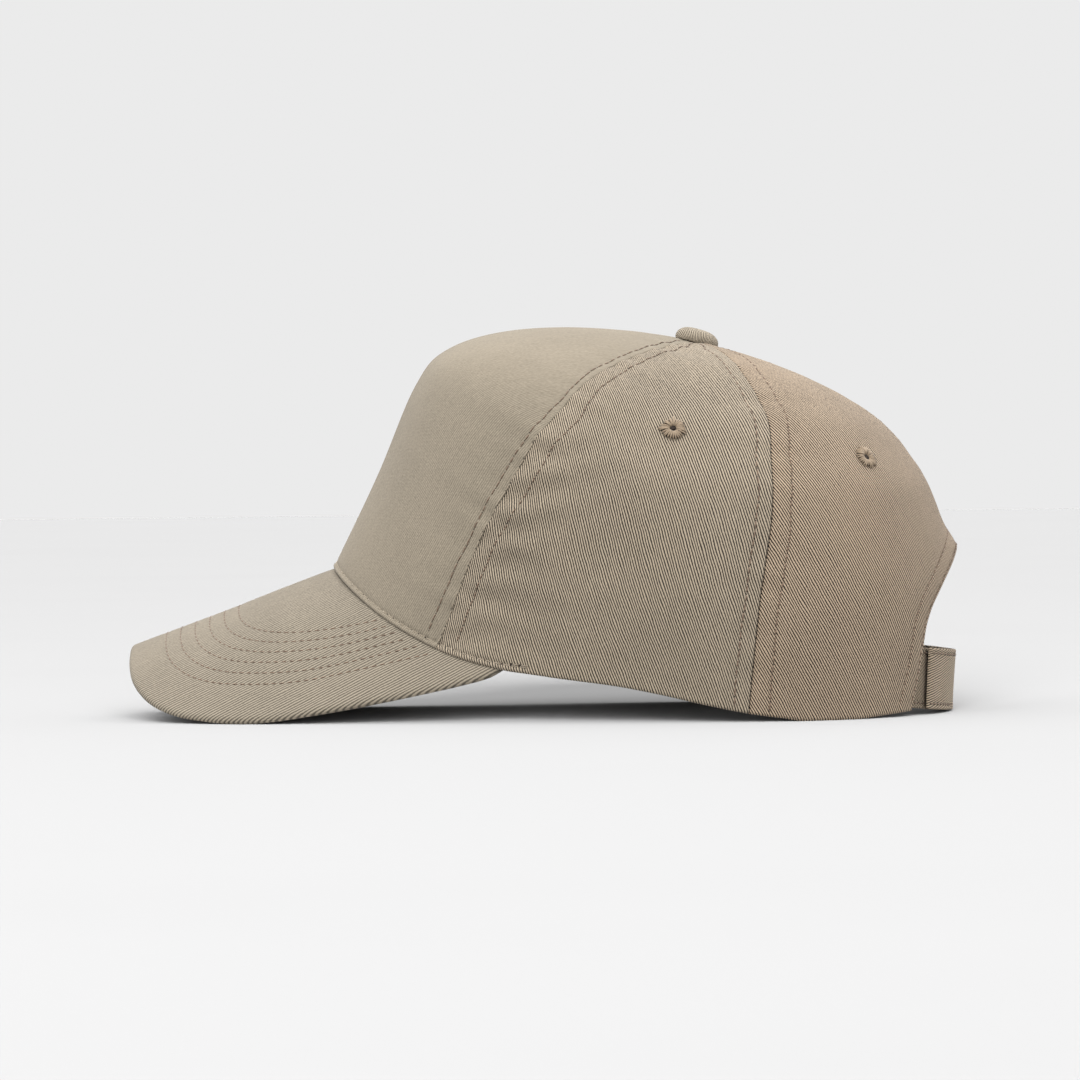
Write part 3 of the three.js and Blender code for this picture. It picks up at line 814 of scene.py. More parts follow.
def twill_material(name, light, dark, depth=1.0, pitch=RIB_PITCH):
    """Cotton twill: slanting ribs of short yarn floats, with slubs and uneven dye; the dark colour
    of the grooves between ribs is partly painted shade.
    """
    material, tree, shader = new_material(name)
    n = Nodes(tree)
    cloth = tree.nodes.new("ShaderNodeUVMap")
    cloth.uv_map = "cloth"
    laid = cloth.outputs[0]
    across, along = n.split(laid)[:2]
    wander = n.grain(laid, 0.35, 0.12, 1.0, 1.0)
    shifted = n.math("MULTIPLY_ADD", wander, 0.5, across)
    turns = n.math("DIVIDE", shifted, pitch)
    rib = n.math("COSINE", n.math("MULTIPLY", turns, 2 * math.pi))
    ridge = n.math("POWER", n.math("MULTIPLY_ADD", rib, 0.4999, 0.5), 0.75)
    stagger = n.math("MULTIPLY", n.math("ROUND", turns), 0.37)
    floats = n.math("ADD", n.math("DIVIDE", along, YARN_PITCH), stagger)
    yarn = n.math("COSINE", n.math("MULTIPLY", floats, 2 * math.pi))
    yarn = n.math("MULTIPLY_ADD", yarn, 0.5, 0.5)
    speck = n.grain(laid, 1.7, 0.8, 1.3, 2.0)
    cloud = n.grain(laid, 0.03, 0.03, 1.0, 4.0)
    slub = n.grain(laid, 0.8, 0.16, 1.0, 1.0)
    height = n.math("MULTIPLY_ADD", n.math("MULTIPLY", yarn, ridge), 0.25, ridge)
    height = n.math("MULTIPLY_ADD", speck, 0.6, height)
    facing = n.split(tree.nodes.new("ShaderNodeNewGeometry").outputs["Normal"])
    # painted light: the groove shade in the colour is kept in full where the cloth faces sideways
    # and fades to 0.3 of it where the cloth faces up, as if light from overhead filled the grooves
    painted_groove_shade_share = n.fade(facing[2], 0.6, 0.95, 1.0, 0.3)
    # the grooves take the dark colour: partly the cloth's own tone, partly painted shade
    tone = n.math("MULTIPLY_ADD", yarn, 0.12, ridge)
    tone = n.math("MULTIPLY", n.math("SUBTRACT", tone, 0.62), 1.25 * depth)
    tone = n.math("MULTIPLY_ADD", tone, painted_groove_shade_share, 0.56)
    for uneven, share, clamp in ((speck, 0.9, False), (slub, 0.25, False), (cloud, 0.3, True)):
        tone = n.math("MULTIPLY_ADD", n.math("SUBTRACT", uneven, 0.5), share, tone, clamp)
    n.link(n.mix(tone, dark, light), shader.inputs["Base Color"])
    n.link(n.bump(height, min(1.0, 0.9 * depth), 0.00012), shader.inputs["Normal"])
    n.link(n.math("MULTIPLY_ADD", ridge, -0.08, 0.93), shader.inputs["Roughness"])
    shader.inputs["Sheen Weight"].default_value = 0.06
    shader.inputs["Sheen Roughness"].default_value = 0.6
    shader.inputs["Specular IOR Level"].default_value = 0.15
    return material


def thread_material(name, light, dark):
    """Spun thread, with a fine uneven twist."""
    material, tree, shader = new_material(name)
    n = Nodes(tree)
    place = n.place()
    twist = n.noise(place, 2600.0, 2.0)
    drift = n.noise(place, 90.0, 2.0)
    tone = n.math("ADD", n.math("MULTIPLY", twist, 0.6), n.math("MULTIPLY", drift, 0.4))
    n.link(n.mix(tone, dark, light), shader.inputs["Base Color"])
    n.link(n.bump(twist, 0.5, 0.00008), shader.inputs["Normal"])
    shader.inputs["Roughness"].default_value = 0.75
    shader.inputs["Sheen Weight"].default_value = 0.15
    return material


def shade_material(name, colour):
    """Painted shade: the dark inside of a needle hole, a seam's slit or an eyelet."""
    material, tree, shader = new_material(name)
    n = Nodes(tree)
    place = n.place()
    n.link(n.mix(n.noise(place, 1500.0), colour, tuple(c * 0.6 for c in colour[:3]) + (1,)),
           shader.inputs["Base Color"])
    shader.inputs["Roughness"].default_value = 1.0
    return material


def dye_and_groove_shade(red, green, blue, spread):
    """Light and dark colours about a screen colour, as surface colours: yarn tones for a thread, and
    for a twill its ribs and its grooves, whose dark colour is partly painted shade.
    """
    return [tint(red, green, blue, CLOTH_GAIN * (1 + part)) for part in (spread, -spread)]


# The spread between light and dark in each twill is partly painted shade in its grooves, set larger
# on the side and back panels than on the front one; the number after the colours scales the depth of
# the ribs and of that shade.
front_cloth = twill_material("front_twill", *dye_and_groove_shade(186, 173, 152, 0.35), 0.5)
side_cloth = twill_material("side_twill", *dye_and_groove_shade(180, 165, 144, 0.92), 1.3)
back_cloth = twill_material("back_twill", *dye_and_groove_shade(186, 165, 141, 0.95), 1.45)
peak_cloth = twill_material("peak_twill", *dye_and_groove_shade(177, 165, 146, 0.52), 1.25, 1.02)
button_cloth = twill_material("button_twill", *dye_and_groove_shade(192, 178, 157, 0.8), 1.3, 0.6)
strap_cloth = twill_material("strap_twill", *dye_and_groove_shade(192, 172, 147, 0.85), 1.3)
# painted shade: the tab is the strap's cloth coloured darker, with stronger painted groove shade,
# where it lies in the shade of the panel's edge and the band
shaded_tab_cloth = twill_material("shaded_tab_twill", *dye_and_groove_shade(166, 148, 125, 0.95), 1.5)
thread = thread_material("sewing_thread", *dye_and_groove_shade(154, 121, 95, 0.3))
pale_thread = thread_material("joint_thread", *dye_and_groove_shade(206, 188, 162, 0.3))
satin = thread_material("eyelet_thread", *dye_and_groove_shade(200, 174, 142, 0.4))
# painted shade inside needle holes, the back seam's slit and the eyelets' bores
painted_hole_shade = shade_material("painted_hole_shade", tint(70, 54, 42))
# painted shade between the eyelet's threads, on the ring and sleeve under them
eyelet_shade = shade_material("eyelet_shade", tint(104, 82, 62))


# Threads
class Threads:
    """Short bent threads gathered into one mesh."""

    def __init__(self):
        self.points, self.quads, self.ends, self.holes = [], [], [], []
        self.count = 0

    def add(self, path, out, radius):
        """Tubes along paths (threads, points, 3), flattened against the cloth."""
        total, length = path.shape[:2]
        sides = THREAD_SIDES
        along = unit(np.gradient(path, axis=1))
        beside = unit(np.cross(along, out[:, None, :] * np.ones((1, length, 1))))
        up = np.cross(beside, along)
        turn = np.arange(sides) * 2 * math.pi / sides
        ring = path[:, :, None] + radius[None, :, None, None] * (
            beside[:, :, None] * np.cos(turn)[None, None, :, None]
            + up[:, :, None] * np.sin(turn)[None, None, :, None] * 0.8)
        base = self.count + np.arange(total)[:, None, None] * length * sides
        index = base + np.arange(length)[None, :, None] * sides + np.arange(sides)[None, None]
        after = np.roll(index, -1, axis=2)
        self.quads.append(np.stack(
            [index[:, :-1], index[:, 1:], after[:, 1:], after[:, :-1]], -1).reshape(-1, 4))
        self.ends.append(index[:, 0])
        self.ends.append(index[:, -1, ::-1])
        self.points.append(ring.reshape(-1, 3))
        self.count += total * length * sides

    def dots(self, places, out, along, radius):
        """Small dark pits where the needle went through, as flat six sided gems that carry painted
        shade.
        """
        beside = np.cross(out, along)
        turn = np.arange(6) * math.pi / 3
        ring = places[:, None] + radius * (
            along[:, None] * np.cos(turn)[None, :, None]
            + beside[:, None] * 0.8 * np.sin(turn)[None, :, None])
        tip = places + out * 0.03
        base = places - out * 0.12
        points = np.concatenate([ring, tip[:, None], base[:, None]], 1)
        index = self.count + np.arange(len(places))[:, None] * 8
        for k in range(6):
            m = (k + 1) % 6
            self.holes.append(index + np.array([k, m, 6]))
            self.holes.append(index + np.array([m, k, 7]))
        self.points.append(points.reshape(-1, 3))
        self.count += len(places) * 8

    def piece(self, name, materials):
        points = np.concatenate(self.points)
        plain = [np.concatenate(self.quads), *self.ends]
        marks = np.zeros(sum(len(group) for group in plain + self.holes), int)
        marks[sum(len(group) for group in plain):] = 1
        return add_piece(name, points, plain + self.holes, materials, marks=marks)


STITCH_SHAPE = np.array([-1, -0.62, 0, 0.62, 1.0])


def stitch(threads, places, out, along, seed, side=1, lift=STITCH_LIFT, hole=HOLE_RADIUS):
    """A row of stitches at places on the cloth, each one dipping in at its ends, with a gem of
    painted shade in the needle hole between stitches.
    """
    rng = np.random.default_rng(seed)
    total = len(places)
    half = STITCH_LENGTH / 2 * (1 + 0.08 * rng.normal(size=total))
    skew = 0.05 * rng.normal(size=total)
    beside = unit(np.cross(out, along))
    direction = unit(along + beside * skew[:, None])
    t = STITCH_SHAPE
    rise = lift - (lift + STITCH_DIVE) * np.abs(t) ** 3.5
    path = (places[:, None]
            + direction[:, None] * (half[:, None] * t)[..., None]
            + out[:, None] * rise[None, :, None])
    path = path * [side, 1, 1]
    facing = out * [side, 1, 1]
    threads.add(path, facing, THREAD_RADIUS * np.array([0.8, 1, 1.04, 1, 0.8]))
    gap = places - along * STITCH_PITCH / 2 - out * HOLE_SINK
    flip = unit(along) * [side, 1, 1]
    threads.dots(gap * [side, 1, 1], facing, flip * side, hole)


def spaced(points, pitch=STITCH_PITCH):
    """Numbers along a line of points at an even pitch, as fractions of its index."""
    line = Line(points)
    places = np.arange(pitch / 2, line.runs[-1] - pitch * 0.3, pitch)
    return np.interp(places, line.runs, np.arange(len(points)))


def pick(values, numbers):
    index = np.arange(len(values))
    if values.ndim == 1:
        return np.interp(numbers, index, values)
    return np.stack([np.interp(numbers, index, column) for column in values.T], -1)


def crown_row(threads, kind, angles, steps, side, seed, lift=STITCH_LIFT, hole=HOLE_RADIUS):
    """A row of stitches on a panel, through angles in degrees and steps."""
    base = crown(angles * RAD, steps)
    numbers = spaced(base)
    step = pick(steps, numbers)
    angle = pick(angles, numbers) * RAD
    places = crown(angle, step)
    out = normal(angle, step)
    height = relief(kind, places, step, side) + STITCH_LIFT
    along = unit(pick(np.gradient(base, axis=0), numbers))
    stitch(threads, places + out * height[:, None], out, along, seed, side, lift, hole)


def mover(angle, step, first, second):
    """A function from lengths along two ways on the crown to changes of angle and step."""
    e = 0.01
    here = crown(angle, step)
    by_angle = (crown(angle + e, step) - here) / e
    by_step = (crown(angle, step + e) - here) / e
    a, b = (by_angle * first).sum(-1), (by_step * first).sum(-1)
    c, d = (by_angle * second).sum(-1), (by_step * second).sum(-1)
    det = a * d - b * c
    return lambda x, y: ((x * d - y * b) / det, (y * a - x * c) / det)


def beside_seam(angle_at, steps, offset):
    """Angles of a line that keeps an offset in millimetres from a seam."""
    angles = angle_at(steps) * RAD
    e = 0.002
    across = (bare(angles + e, steps) - bare(angles - e, steps)) / (2 * e)
    way = unit(np.gradient(bare(angles, steps), axis=0))
    metric = np.linalg.norm(across - (across * way).sum(1)[:, None] * way, axis=1)
    return (angles + offset / metric) / RAD


# Panels
panel("front_panel_cloth", "front", "front_panel", 1, FRONT_WALL, RIM_WALL,
      lambda s: -front_seam(s), front_seam, front_cloth)
for side, word in ((1, "left"), (-1, "right")):
    panel(f"side_panel_{word}_cloth", "side", f"side_panel_{word}", side, SIDE_WALL, RIM_WALL,
          front_seam, back_seam, side_cloth)
    panel(f"back_panel_{word}_cloth", "back", f"back_panel_{word}", side, BACK_WALL, BACK_WALL,
          back_seam, arch_edge, back_cloth)

# Rows of stitches on the crown
crown_threads = Threads()
for side in (1, -1):
    seed = 100 if side > 0 else 200
    rows = [
        # panel, seam, offset, side of the seam, width, first step, shares of the offset
        ("front", front_seam, ROW_FRONT, -1, front_width, 0.13, FRONT_ROW),
        ("side", front_seam, ROW_SIDE, 1, side_width, 0.13, SIDE_ROW),
        ("side", back_seam, ROW_BEFORE, -1, side_width, 0.05, None),
        ("back", back_seam, ROW_BEHIND, 1, back_width, 0.05, None),
    ]
    for number, (kind, seam, offset, way, width, first, shares) in enumerate(rows):
        steps = np.linspace(first, ROW_TOP, 500)
        gap = way * row_offset(offset, width, steps, shares)
        crown_row(crown_threads, kind, beside_seam(seam, steps, gap), steps, side, seed + number)
    steps = np.linspace(OPENING_STEP + ROW_HEM_IN / STEP_HEIGHT, ROW_TOP, 400)
    gap = -row_offset(ROW_CENTRE, back_width, steps)
    angles = beside_seam(lambda s: np.full(len(s), 180.0), steps, gap)
    crown_row(crown_threads, "back", angles, steps, side, seed + 8)

crown_threads.piece("crown_stitches", [thread, painted_hole_shade])

# Row above the peak's joint, sewn twice at its ends, and the pale row in the front seam
joint_threads = Threads()
for side in (1, -1):
    for first, seed, raised in ((0.4, 31, 0.0), (JOINT_TWICE, 33, 0.55)):
        turns = np.linspace(first, JOINT_END, 400)
        lower = bare(turns * RAD, np.zeros(400))
        upper = bare(turns * RAD, np.full(400, 0.1))
        rise = 0.1 / np.linalg.norm(upper - lower, axis=1)
        kinds = np.where(turns < front_seam(0.05), "front", "side")
        for kind in ("front", "side"):
            mine = kinds == kind
            if mine.sum() < 20:
                continue
            crown_row(joint_threads, kind, turns[mine], (rise * (ROW_JOINT + raised))[mine],
                      side, seed, JOINT_LIFT, JOINT_HOLE)
    steps = np.linspace(0.06, PALE_TOP, 500)
    angles = front_seam(steps) - PALE_INSET
    crown_row(joint_threads, "front", angles, steps, side, 91, lift=0.02)
joint_threads.piece("joint_stitches", [pale_thread, painted_hole_shade])

# Rows along the hem of the back opening, and dark gems of painted shade in the back seam's slit
hem_threads = Threads()
hem_turn = arch_edge(arch_steps) * RAD
hem_way = unit(np.gradient(arch_line.points, axis=0))
hem_inward = unit(np.cross(normal(hem_turn, arch_steps), hem_way))
from_hem = mover(hem_turn, arch_steps, hem_way, hem_inward)
for side in (1, -1):
    for offset, seed in ((ROW_HEM, 41), (ROW_HEM_IN, 43)):
        turned, raised = from_hem(0, offset)
        angles, steps = (hem_turn + turned) / RAD, arch_steps + raised
        fits = (steps > 0.06) & (angles < 179.6)
        crown_row(hem_threads, "back", angles[fits], steps[fits], side, seed)
    steps = np.linspace(0.04, SLIT_SHADE_TOP, 600)
    angles = back_seam(steps) * RAD
    numbers = spaced(crown(angles, steps), SLIT_SHADE_PITCH)
    step, angle = pick(steps, numbers), pick(angles, numbers)
    along = unit(pick(np.gradient(crown(angles, steps), axis=0), numbers)) * [side, 1, 1] * side
    out = normal(angle, step)
    slit_shades = (crown(angle, step) - out * SLIT_SHADE_DEPTH) * [side, 1, 1]
    hem_threads.dots(slit_shades, out * [side, 1, 1], along, SLIT_SHADE_RADIUS)
hem_threads.piece("hem_stitches", [thread, painted_hole_shade])


# Peak
def peak_normal(x):
    across = 2 * PEAK_DROP * x / END_X**2
    return unit(np.stack([across, np.full_like(across, -PEAK_SLOPE), np.ones_like(across)], -1))


def peak_face(place):
    """Points on top of the bare peak over places in plan."""
    return np.column_stack([place, peak_top(place[:, 0], place[:, 1])])


def catmull(points, count):
    """Evenly spaced points on a smooth curve through points in plan."""
    padded = np.concatenate([[2 * points[0] - points[1]], points, [2 * points[-1] - points[-2]]])
    out = []
    for p, q, r, s in zip(padded, padded[1:], padded[2:], padded[3:]):
        ta = np.linalg.norm(q - p) ** 0.5
        tb = ta + np.linalg.norm(r - q) ** 0.5
        tc = tb + np.linalg.norm(s - r) ** 0.5
        for t in np.linspace(ta, tb, 24, endpoint=False):
            a = (ta - t) / ta * p + t / ta * q
            b = (tb - t) / (tb - ta) * q + (t - ta) / (tb - ta) * r
            c = (tc - t) / (tc - tb) * r + (t - tb) / (tc - tb) * s
            lower = (tb - t) / tb * a + t / tb * b
            upper = (tc - t) / (tc - ta) * b + (t - ta) / (tc - ta) * c
            out.append((tb - t) / (tb - ta) * lower + (t - ta) / (tb - ta) * upper)
    out.append(points[-1])
    out = np.array(out)
    line = Line(out)
    return pick(out, np.interp(np.linspace(0, line.runs[-1], count), line.runs, np.arange(len(out))))


PEAK_AHEAD = CROWN_FRONT + PEAK_REACH + END_Y
half_edge = np.array([[wide * END_X, END_Y - ahead * PEAK_AHEAD] for ahead, wide in PEAK_EDGE])
edge_points = np.concatenate([half_edge[:0:-1] * [-1, 1], half_edge])


def unrolled(x):
    """Length of the peak's arched cross section from its middle."""
    k = 2 * PEAK_DROP / END_X**2
    u = k * x
    return (u * np.sqrt(1 + u * u) + np.arcsinh(u)) / (2 * k)


def peak_row(number):
    """One row of stitches round the peak, in plan."""
    wide = ROW_SPREAD - ROW_NARROW * number
    ahead = ROW_FIRST + ROW_GAP * number
    row = catmull(edge_points, 420) * [wide, 1] + [0, ahead]
    angle = np.arctan2(row[:, 0], -row[:, 1])
    clear = np.hypot(row[:, 0], row[:, 1]) > section_radius(angle, 0) + ROW_CLEAR
    return row[clear]


peak_rows = [peak_row(number) for number in range(ROW_COUNT)]


def on_peak(plan_points):
    return np.stack([unrolled(plan_points[:, 0]), plan_points[:, 1] * math.hypot(1, PEAK_SLOPE)], -1)


row_lines = [Line(on_peak(row)) for row in peak_rows]


def peak_relief(flat):
    """Height of the peak's cloth, quilted along its rows of stitches."""
    depth = PEAK_UNEVEN * waves(np.column_stack([flat, np.zeros(len(flat))]), 5, 30, 70)
    for line in row_lines:
        gap, run = line.near(flat)
        depth -= groove(gap, run)
        depth -= QUILT * hump(gap, QUILT_REACH)
    return depth


def peak_piece():
    cols = 361
    edge = catmull(edge_points, cols)
    way = unit(np.gradient(edge, axis=0))
    inward = np.stack([-way[:, 1], way[:, 0]], -1)
    inward *= np.sign((inward * (np.array([0, -100]) - edge)).sum(1))[:, None]
    angle = np.linspace(-1, 1, cols) * PEAK_END * RAD
    root = rim_point(angle, np.full(cols, RIM_WALL))[:, :2]
    radius = PEAK_THICK / 2
    rim = edge + inward * PEAK_MARGIN
    reach = np.linalg.norm(rim - root, axis=1)
    rows = []
    for share in np.concatenate([[0, 0.004, 0.01, 0.018, 0.03, 0.045], np.linspace(0.065, 1, 54)]):
        sink_in = JOINT_SINK * hump(share * reach, JOINT_SINK_REACH)
        rows.append((root + (rim - root) * share, 0.0, sink_in))
    for inset in (2.4, 1.75, radius):
        rows.append((edge + inward * inset, 0.0, 0.0))
    for turn in (18, 36, 54, 72, 90):
        inset = radius * (1 - math.sin(turn * RAD))
        rows.append((edge + inward * inset, radius * (1 - math.cos(turn * RAD)), 0.0))
    top, under, uvs = [], [], []
    for place, fall, sink_in in rows:
        n = peak_normal(place[:, 0])
        face = peak_face(place)
        flat = on_peak(place)
        height = peak_relief(flat)
        top.append(face + n * (height - fall - sink_in)[:, None])
        under.append(face - n * (PEAK_THICK + height - fall)[:, None])
        uvs.append(twill(flat[:, 1], -flat[:, 0], RIBS["peak"]))
    top, under = np.array(top), np.array(under)
    count = len(top)
    points = np.concatenate([under.reshape(-1, 3), top.reshape(-1, 3)])
    uv = np.concatenate(uvs + uvs).reshape(-1, 2)
    faces = sheet_faces(count, cols)
    add_piece("peak_cloth", points, [faces], [peak_cloth], uv, "peak")


peak_piece()

peak_threads = Threads()
for number, row in enumerate(peak_rows):
    numbers = spaced(np.column_stack([on_peak(row), np.zeros(len(row))]))
    place = pick(row, numbers)
    way = pick(np.gradient(row, axis=0), numbers)
    face = peak_face(place)
    along = unit(peak_face(place + way * 0.05) - face)
    out = peak_normal(place[:, 0])
    height = peak_relief(on_peak(place)) + STITCH_LIFT
    stitch(peak_threads, face + out * height[:, None], out, along, 300 + number)
    below = face - out * (PEAK_THICK + height)[:, None]
    stitch(peak_threads, below, -out, along, 320 + number)
peak_threads.piece("peak_stitches", [thread, painted_hole_shade])


# Button
def button_piece():
    under = -SHANK_DEPTH
    skirt, top = -0.45, BUTTON_GAP + BUTTON_RISE
    profile = [
        (0.01, under - DISC_THICK), (DISC_RADIUS * 0.6, under - DISC_THICK),
        (DISC_RADIUS, under - DISC_THICK), (DISC_RADIUS, under), (SHANK_RADIUS, under),
        (SHANK_RADIUS, BUTTON_GAP * 0.6), (BUTTON_RADIUS * 0.75, BUTTON_GAP * 0.5),
        (BUTTON_RADIUS * 0.88, skirt + 0.2), (BUTTON_RADIUS * 0.94, skirt),
    ]
    cap_from = len(profile) - 1
    for turn in np.linspace(-20, 90, 22)[:-1]:
        c, s = math.cos(turn * RAD), math.sin(turn * RAD)
        rise = (top - skirt) * (0.22 + 0.78 * s if s > 0 else 0.22 * (1 + s / 0.342))
        profile.append((BUTTON_RADIUS * 1.04 * c ** 0.66, skirt + 0.05 + rise * 0.99))
    profile.append((0.01, top))
    turns = 72
    theta = np.arange(turns) * 2 * math.pi / turns
    rings = []
    for radius, height in profile:
        pleat = ease((radius / BUTTON_RADIUS - 0.8) / 0.2) * (height > 0)
        wobble = 1 + 0.012 * pleat * np.cos(13 * theta + 1.5 * np.sin(theta * 2))
        rings.append(np.stack([radius * wobble * np.sin(theta), radius * wobble * np.cos(theta),
                               np.full(turns, height)], -1))
    grid = np.array(rings)
    tilt = np.array(Matrix.Rotation(-BUTTON_TILT * RAD, 3, "X"))
    grid[cap_from:, :, 1] += BUTTON_BACK
    points = grid.reshape(-1, 3) @ tilt.T + bare(np.array(0.0), np.array(6.0))
    index = np.arange(len(profile) * turns).reshape(len(profile), turns)
    after = np.roll(index, -1, axis=1)
    quads = np.stack([index[:-1], index[1:], after[1:], after[:-1]], -1).reshape(-1, 4)
    ends = [index[-1][None, ::-1].copy(), index[0][None].copy()]
    reach = np.array(profile)
    reach = np.concatenate([[0], np.cumsum(np.hypot(*np.diff(reach[::-1], axis=0).T))])[::-1]
    laid = reach[:, None, None] * np.stack([np.sin(theta), np.cos(theta)], -1)
    laid = laid.reshape(-1, 2)
    uv = twill(laid[:, 1], laid[:, 0], RIBS["button"])
    add_piece("top_button_cloth", points, [quads, *ends], [button_cloth], uv,
              "top_button")


button_piece()


# Eyelets
def eyelet_piece(name, node, angle, step, side):
    """An embroidered eyelet: a padded ring under thick radial threads, and its sleeve, both coloured
    as painted shade, with a gem of painted shade in its bore.
    """
    centre = crown(np.array(angle * RAD), np.array(step))
    out = normal(np.array(angle * RAD), np.array(step))
    across = unit(np.cross([0, 0, 1.0], out))
    up = np.cross(out, across)
    move = mover(angle * RAD, step, across, up)

    def place(radius, turn, height):
        turned, raised = move(radius * np.cos(turn), radius * np.sin(turn))
        return crown(angle * RAD + turned, step + raised) + out * np.asarray(height)[..., None]

    turns = 48
    theta = np.arange(turns) * 2 * math.pi / turns
    profile = [
        # radius, height
        (EYELET_BORE, -SLEEVE_DEPTH), (SLEEVE_RADIUS, -SLEEVE_DEPTH),
        (SLEEVE_RADIUS, TRIM_GAP * 0.5), (EYELET_RADIUS * 0.86, TRIM_GAP * 0.5),
        (EYELET_RADIUS * 0.84, TRIM_GAP + EYELET_RISE * 0.1),
        (EYELET_RADIUS * 0.55, TRIM_GAP + EYELET_RISE * 0.35),
        (EYELET_RADIUS * 0.32, TRIM_GAP + EYELET_RISE * 0.1),
        (EYELET_BORE, TRIM_GAP * 0.3),
    ]
    rings = [place(np.full(turns, r), theta, np.full(turns, h)) for r, h in profile]
    grid = np.array(rings).transpose(1, 0, 2)
    rows = len(profile)
    index = np.arange(turns * rows).reshape(turns, rows)
    right, down = np.roll(index, -1, axis=0), np.roll(index, -1, axis=1)
    both = np.roll(right, -1, axis=1)
    body = np.stack([index, right, both, down], -1).reshape(-1, 4)
    threads = Threads()
    threads.points.append(grid.reshape(-1, 3) * [side, 1, 1])
    threads.quads.append(body if side > 0 else body[:, ::-1])
    threads.count = turns * rows
    rng = np.random.default_rng(int(angle * 10) + (7 if side > 0 else 19))
    strands = EYELET_THREADS
    turn = (np.arange(strands) + 0.22 * rng.normal(size=strands)) * 2 * math.pi / strands
    reach = EYELET_RADIUS * (1.02 + 0.07 * rng.normal(size=strands))
    path = []
    for share, height in ((0.24, -0.5), (0.28, 0.3), (0.42, 0.8), (0.7, 0.75), (0.93, 0.35),
                          (1.02, -0.4)):
        lift = TRIM_GAP + EYELET_RISE * height * (1 + 0.12 * rng.normal(size=strands))
        path.append(place(reach * share, turn, lift))
    path = np.array(path).transpose(1, 0, 2) * [side, 1, 1]
    facing = np.tile(out * [side, 1, 1], (strands, 1))
    threads.add(path, facing, np.array([0.13, 0.16, 0.22, 0.3, 0.25, 0.15]))
    # a dark gem paints the shade in the bore
    threads.dots((centre + out * (TRIM_GAP + 0.12))[None] * [side, 1, 1], out[None] * [side, 1, 1],
                 across[None] * [side, 1, 1] * side, EYELET_RADIUS * 0.3)
    piece = threads.piece(name, [satin, painted_hole_shade, eyelet_shade])
    # the ring and sleeve take the eyelet's painted shade, and the bore's gem the needle holes'
    # painted shade
    shaded = np.zeros(len(piece.data.polygons), np.int32)
    shaded[:len(body)] = 2
    shaded[-12:] = 1
    piece.data.polygons.foreach_set("material_index", shaded)
    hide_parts(node)


for place, (angle, step) in EYELETS.items():
    for side, word in ((1, "left"), (-1, "right")):
        eyelet_piece(f"eyelet_{place}_{word}_thread", f"eyelet_{place}_{word}", angle, step, side)


# Strap
def in_degrees(length):
    return length / (CROWN_BACK * RAD)


opening_edge = 180 - STRAP_FROM * OPENING_ANGLE
inside_face = BACK_WALL + TRIM_GAP
STRAP_SHARES = np.array([0, 0.008, 0.02, 0.04, 0.07, 0.09, 0.11, 0.15, 0.22, 0.3, 0.4, 0.5])
STRAP_SHARES = np.concatenate([STRAP_SHARES, 1 - STRAP_SHARES[-2::-1]])


def strap_place(turn, height):
    """A point of the crown at a height near its rim, and the level way out of it."""
    angle = turn * RAD
    foot = section_point(angle, 0)[1]
    step = np.maximum(0.001, (height - foot) / (section_point(angle, 1)[1] - foot))
    p = bare(angle, step)
    n = normal(angle, step)
    n[..., 2] = 0
    p[..., 2] = height
    return p, unit(n)


def strap_height(turn, share):
    away_from_back = (turn - 180) / OPENING_ANGLE
    lift = STRAP_LIFT * np.minimum(1.2, np.abs(away_from_back)) ** 2
    return STRAP_LOW + lift - STRAP_TILT * away_from_back + STRAP_WIDTH * share


strap_threads = Threads()


def strap_band(name, node, first, last, depth, rib, seed, material):
    """A band of the strap, with rounded edges and a row of stitches along each."""
    cols = int((last - first) * RAD * CROWN_BACK / 1.1)
    places = np.linspace(first, last, cols)
    length = (places - first) * RAD * CROWN_BACK
    ends = np.minimum(length, length[-1] - length)
    outer, inner, uvs = [], [], []
    for share in STRAP_SHARES:
        p, n = strap_place(places, strap_height(places, share))
        edge = np.minimum(min(share, 1 - share) * STRAP_WIDTH, ends)
        fall = rounding(edge, STRAP_THICK * STRAP_ROUND)
        gap = np.abs(edge - ROW_STRAP)
        height = -fall - STRAP_GROOVE * beat(length) * hump(gap, STRAP_GROOVE_WIDTH)
        height += STRAP_UNEVEN * waves(p, seed, 20, 40)
        outer.append(p + n * (height - depth(places))[:, None])
        inner.append(p + n * (fall - depth(places) - STRAP_THICK)[:, None])
        uvs.append(twill(length, np.full(cols, share * STRAP_WIDTH), rib))
    points = np.concatenate([np.array(outer).reshape(-1, 3), np.array(inner).reshape(-1, 3)])
    uv = np.concatenate(uvs + uvs).reshape(-1, 2)
    add_piece(name, points, [sheet_faces(len(STRAP_SHARES), cols)], [material],
              uv, node)
    share = ROW_STRAP / STRAP_WIDTH
    for row, level in enumerate((share, 1 - share)):
        turns = np.linspace(first + in_degrees(ROW_STRAP), last - in_degrees(ROW_STRAP), 300)
        p, n = strap_place(turns, strap_height(turns, level))
        base = p - n * depth(turns)[:, None]
        numbers = spaced(base)
        out = unit(pick(n, numbers))
        along = unit(pick(np.gradient(base, axis=0), numbers))
        places_sewn = pick(base, numbers) - out * 0.02
        stitch(strap_threads, places_sewn, out, along, seed + row, hole=STRAP_HOLE)


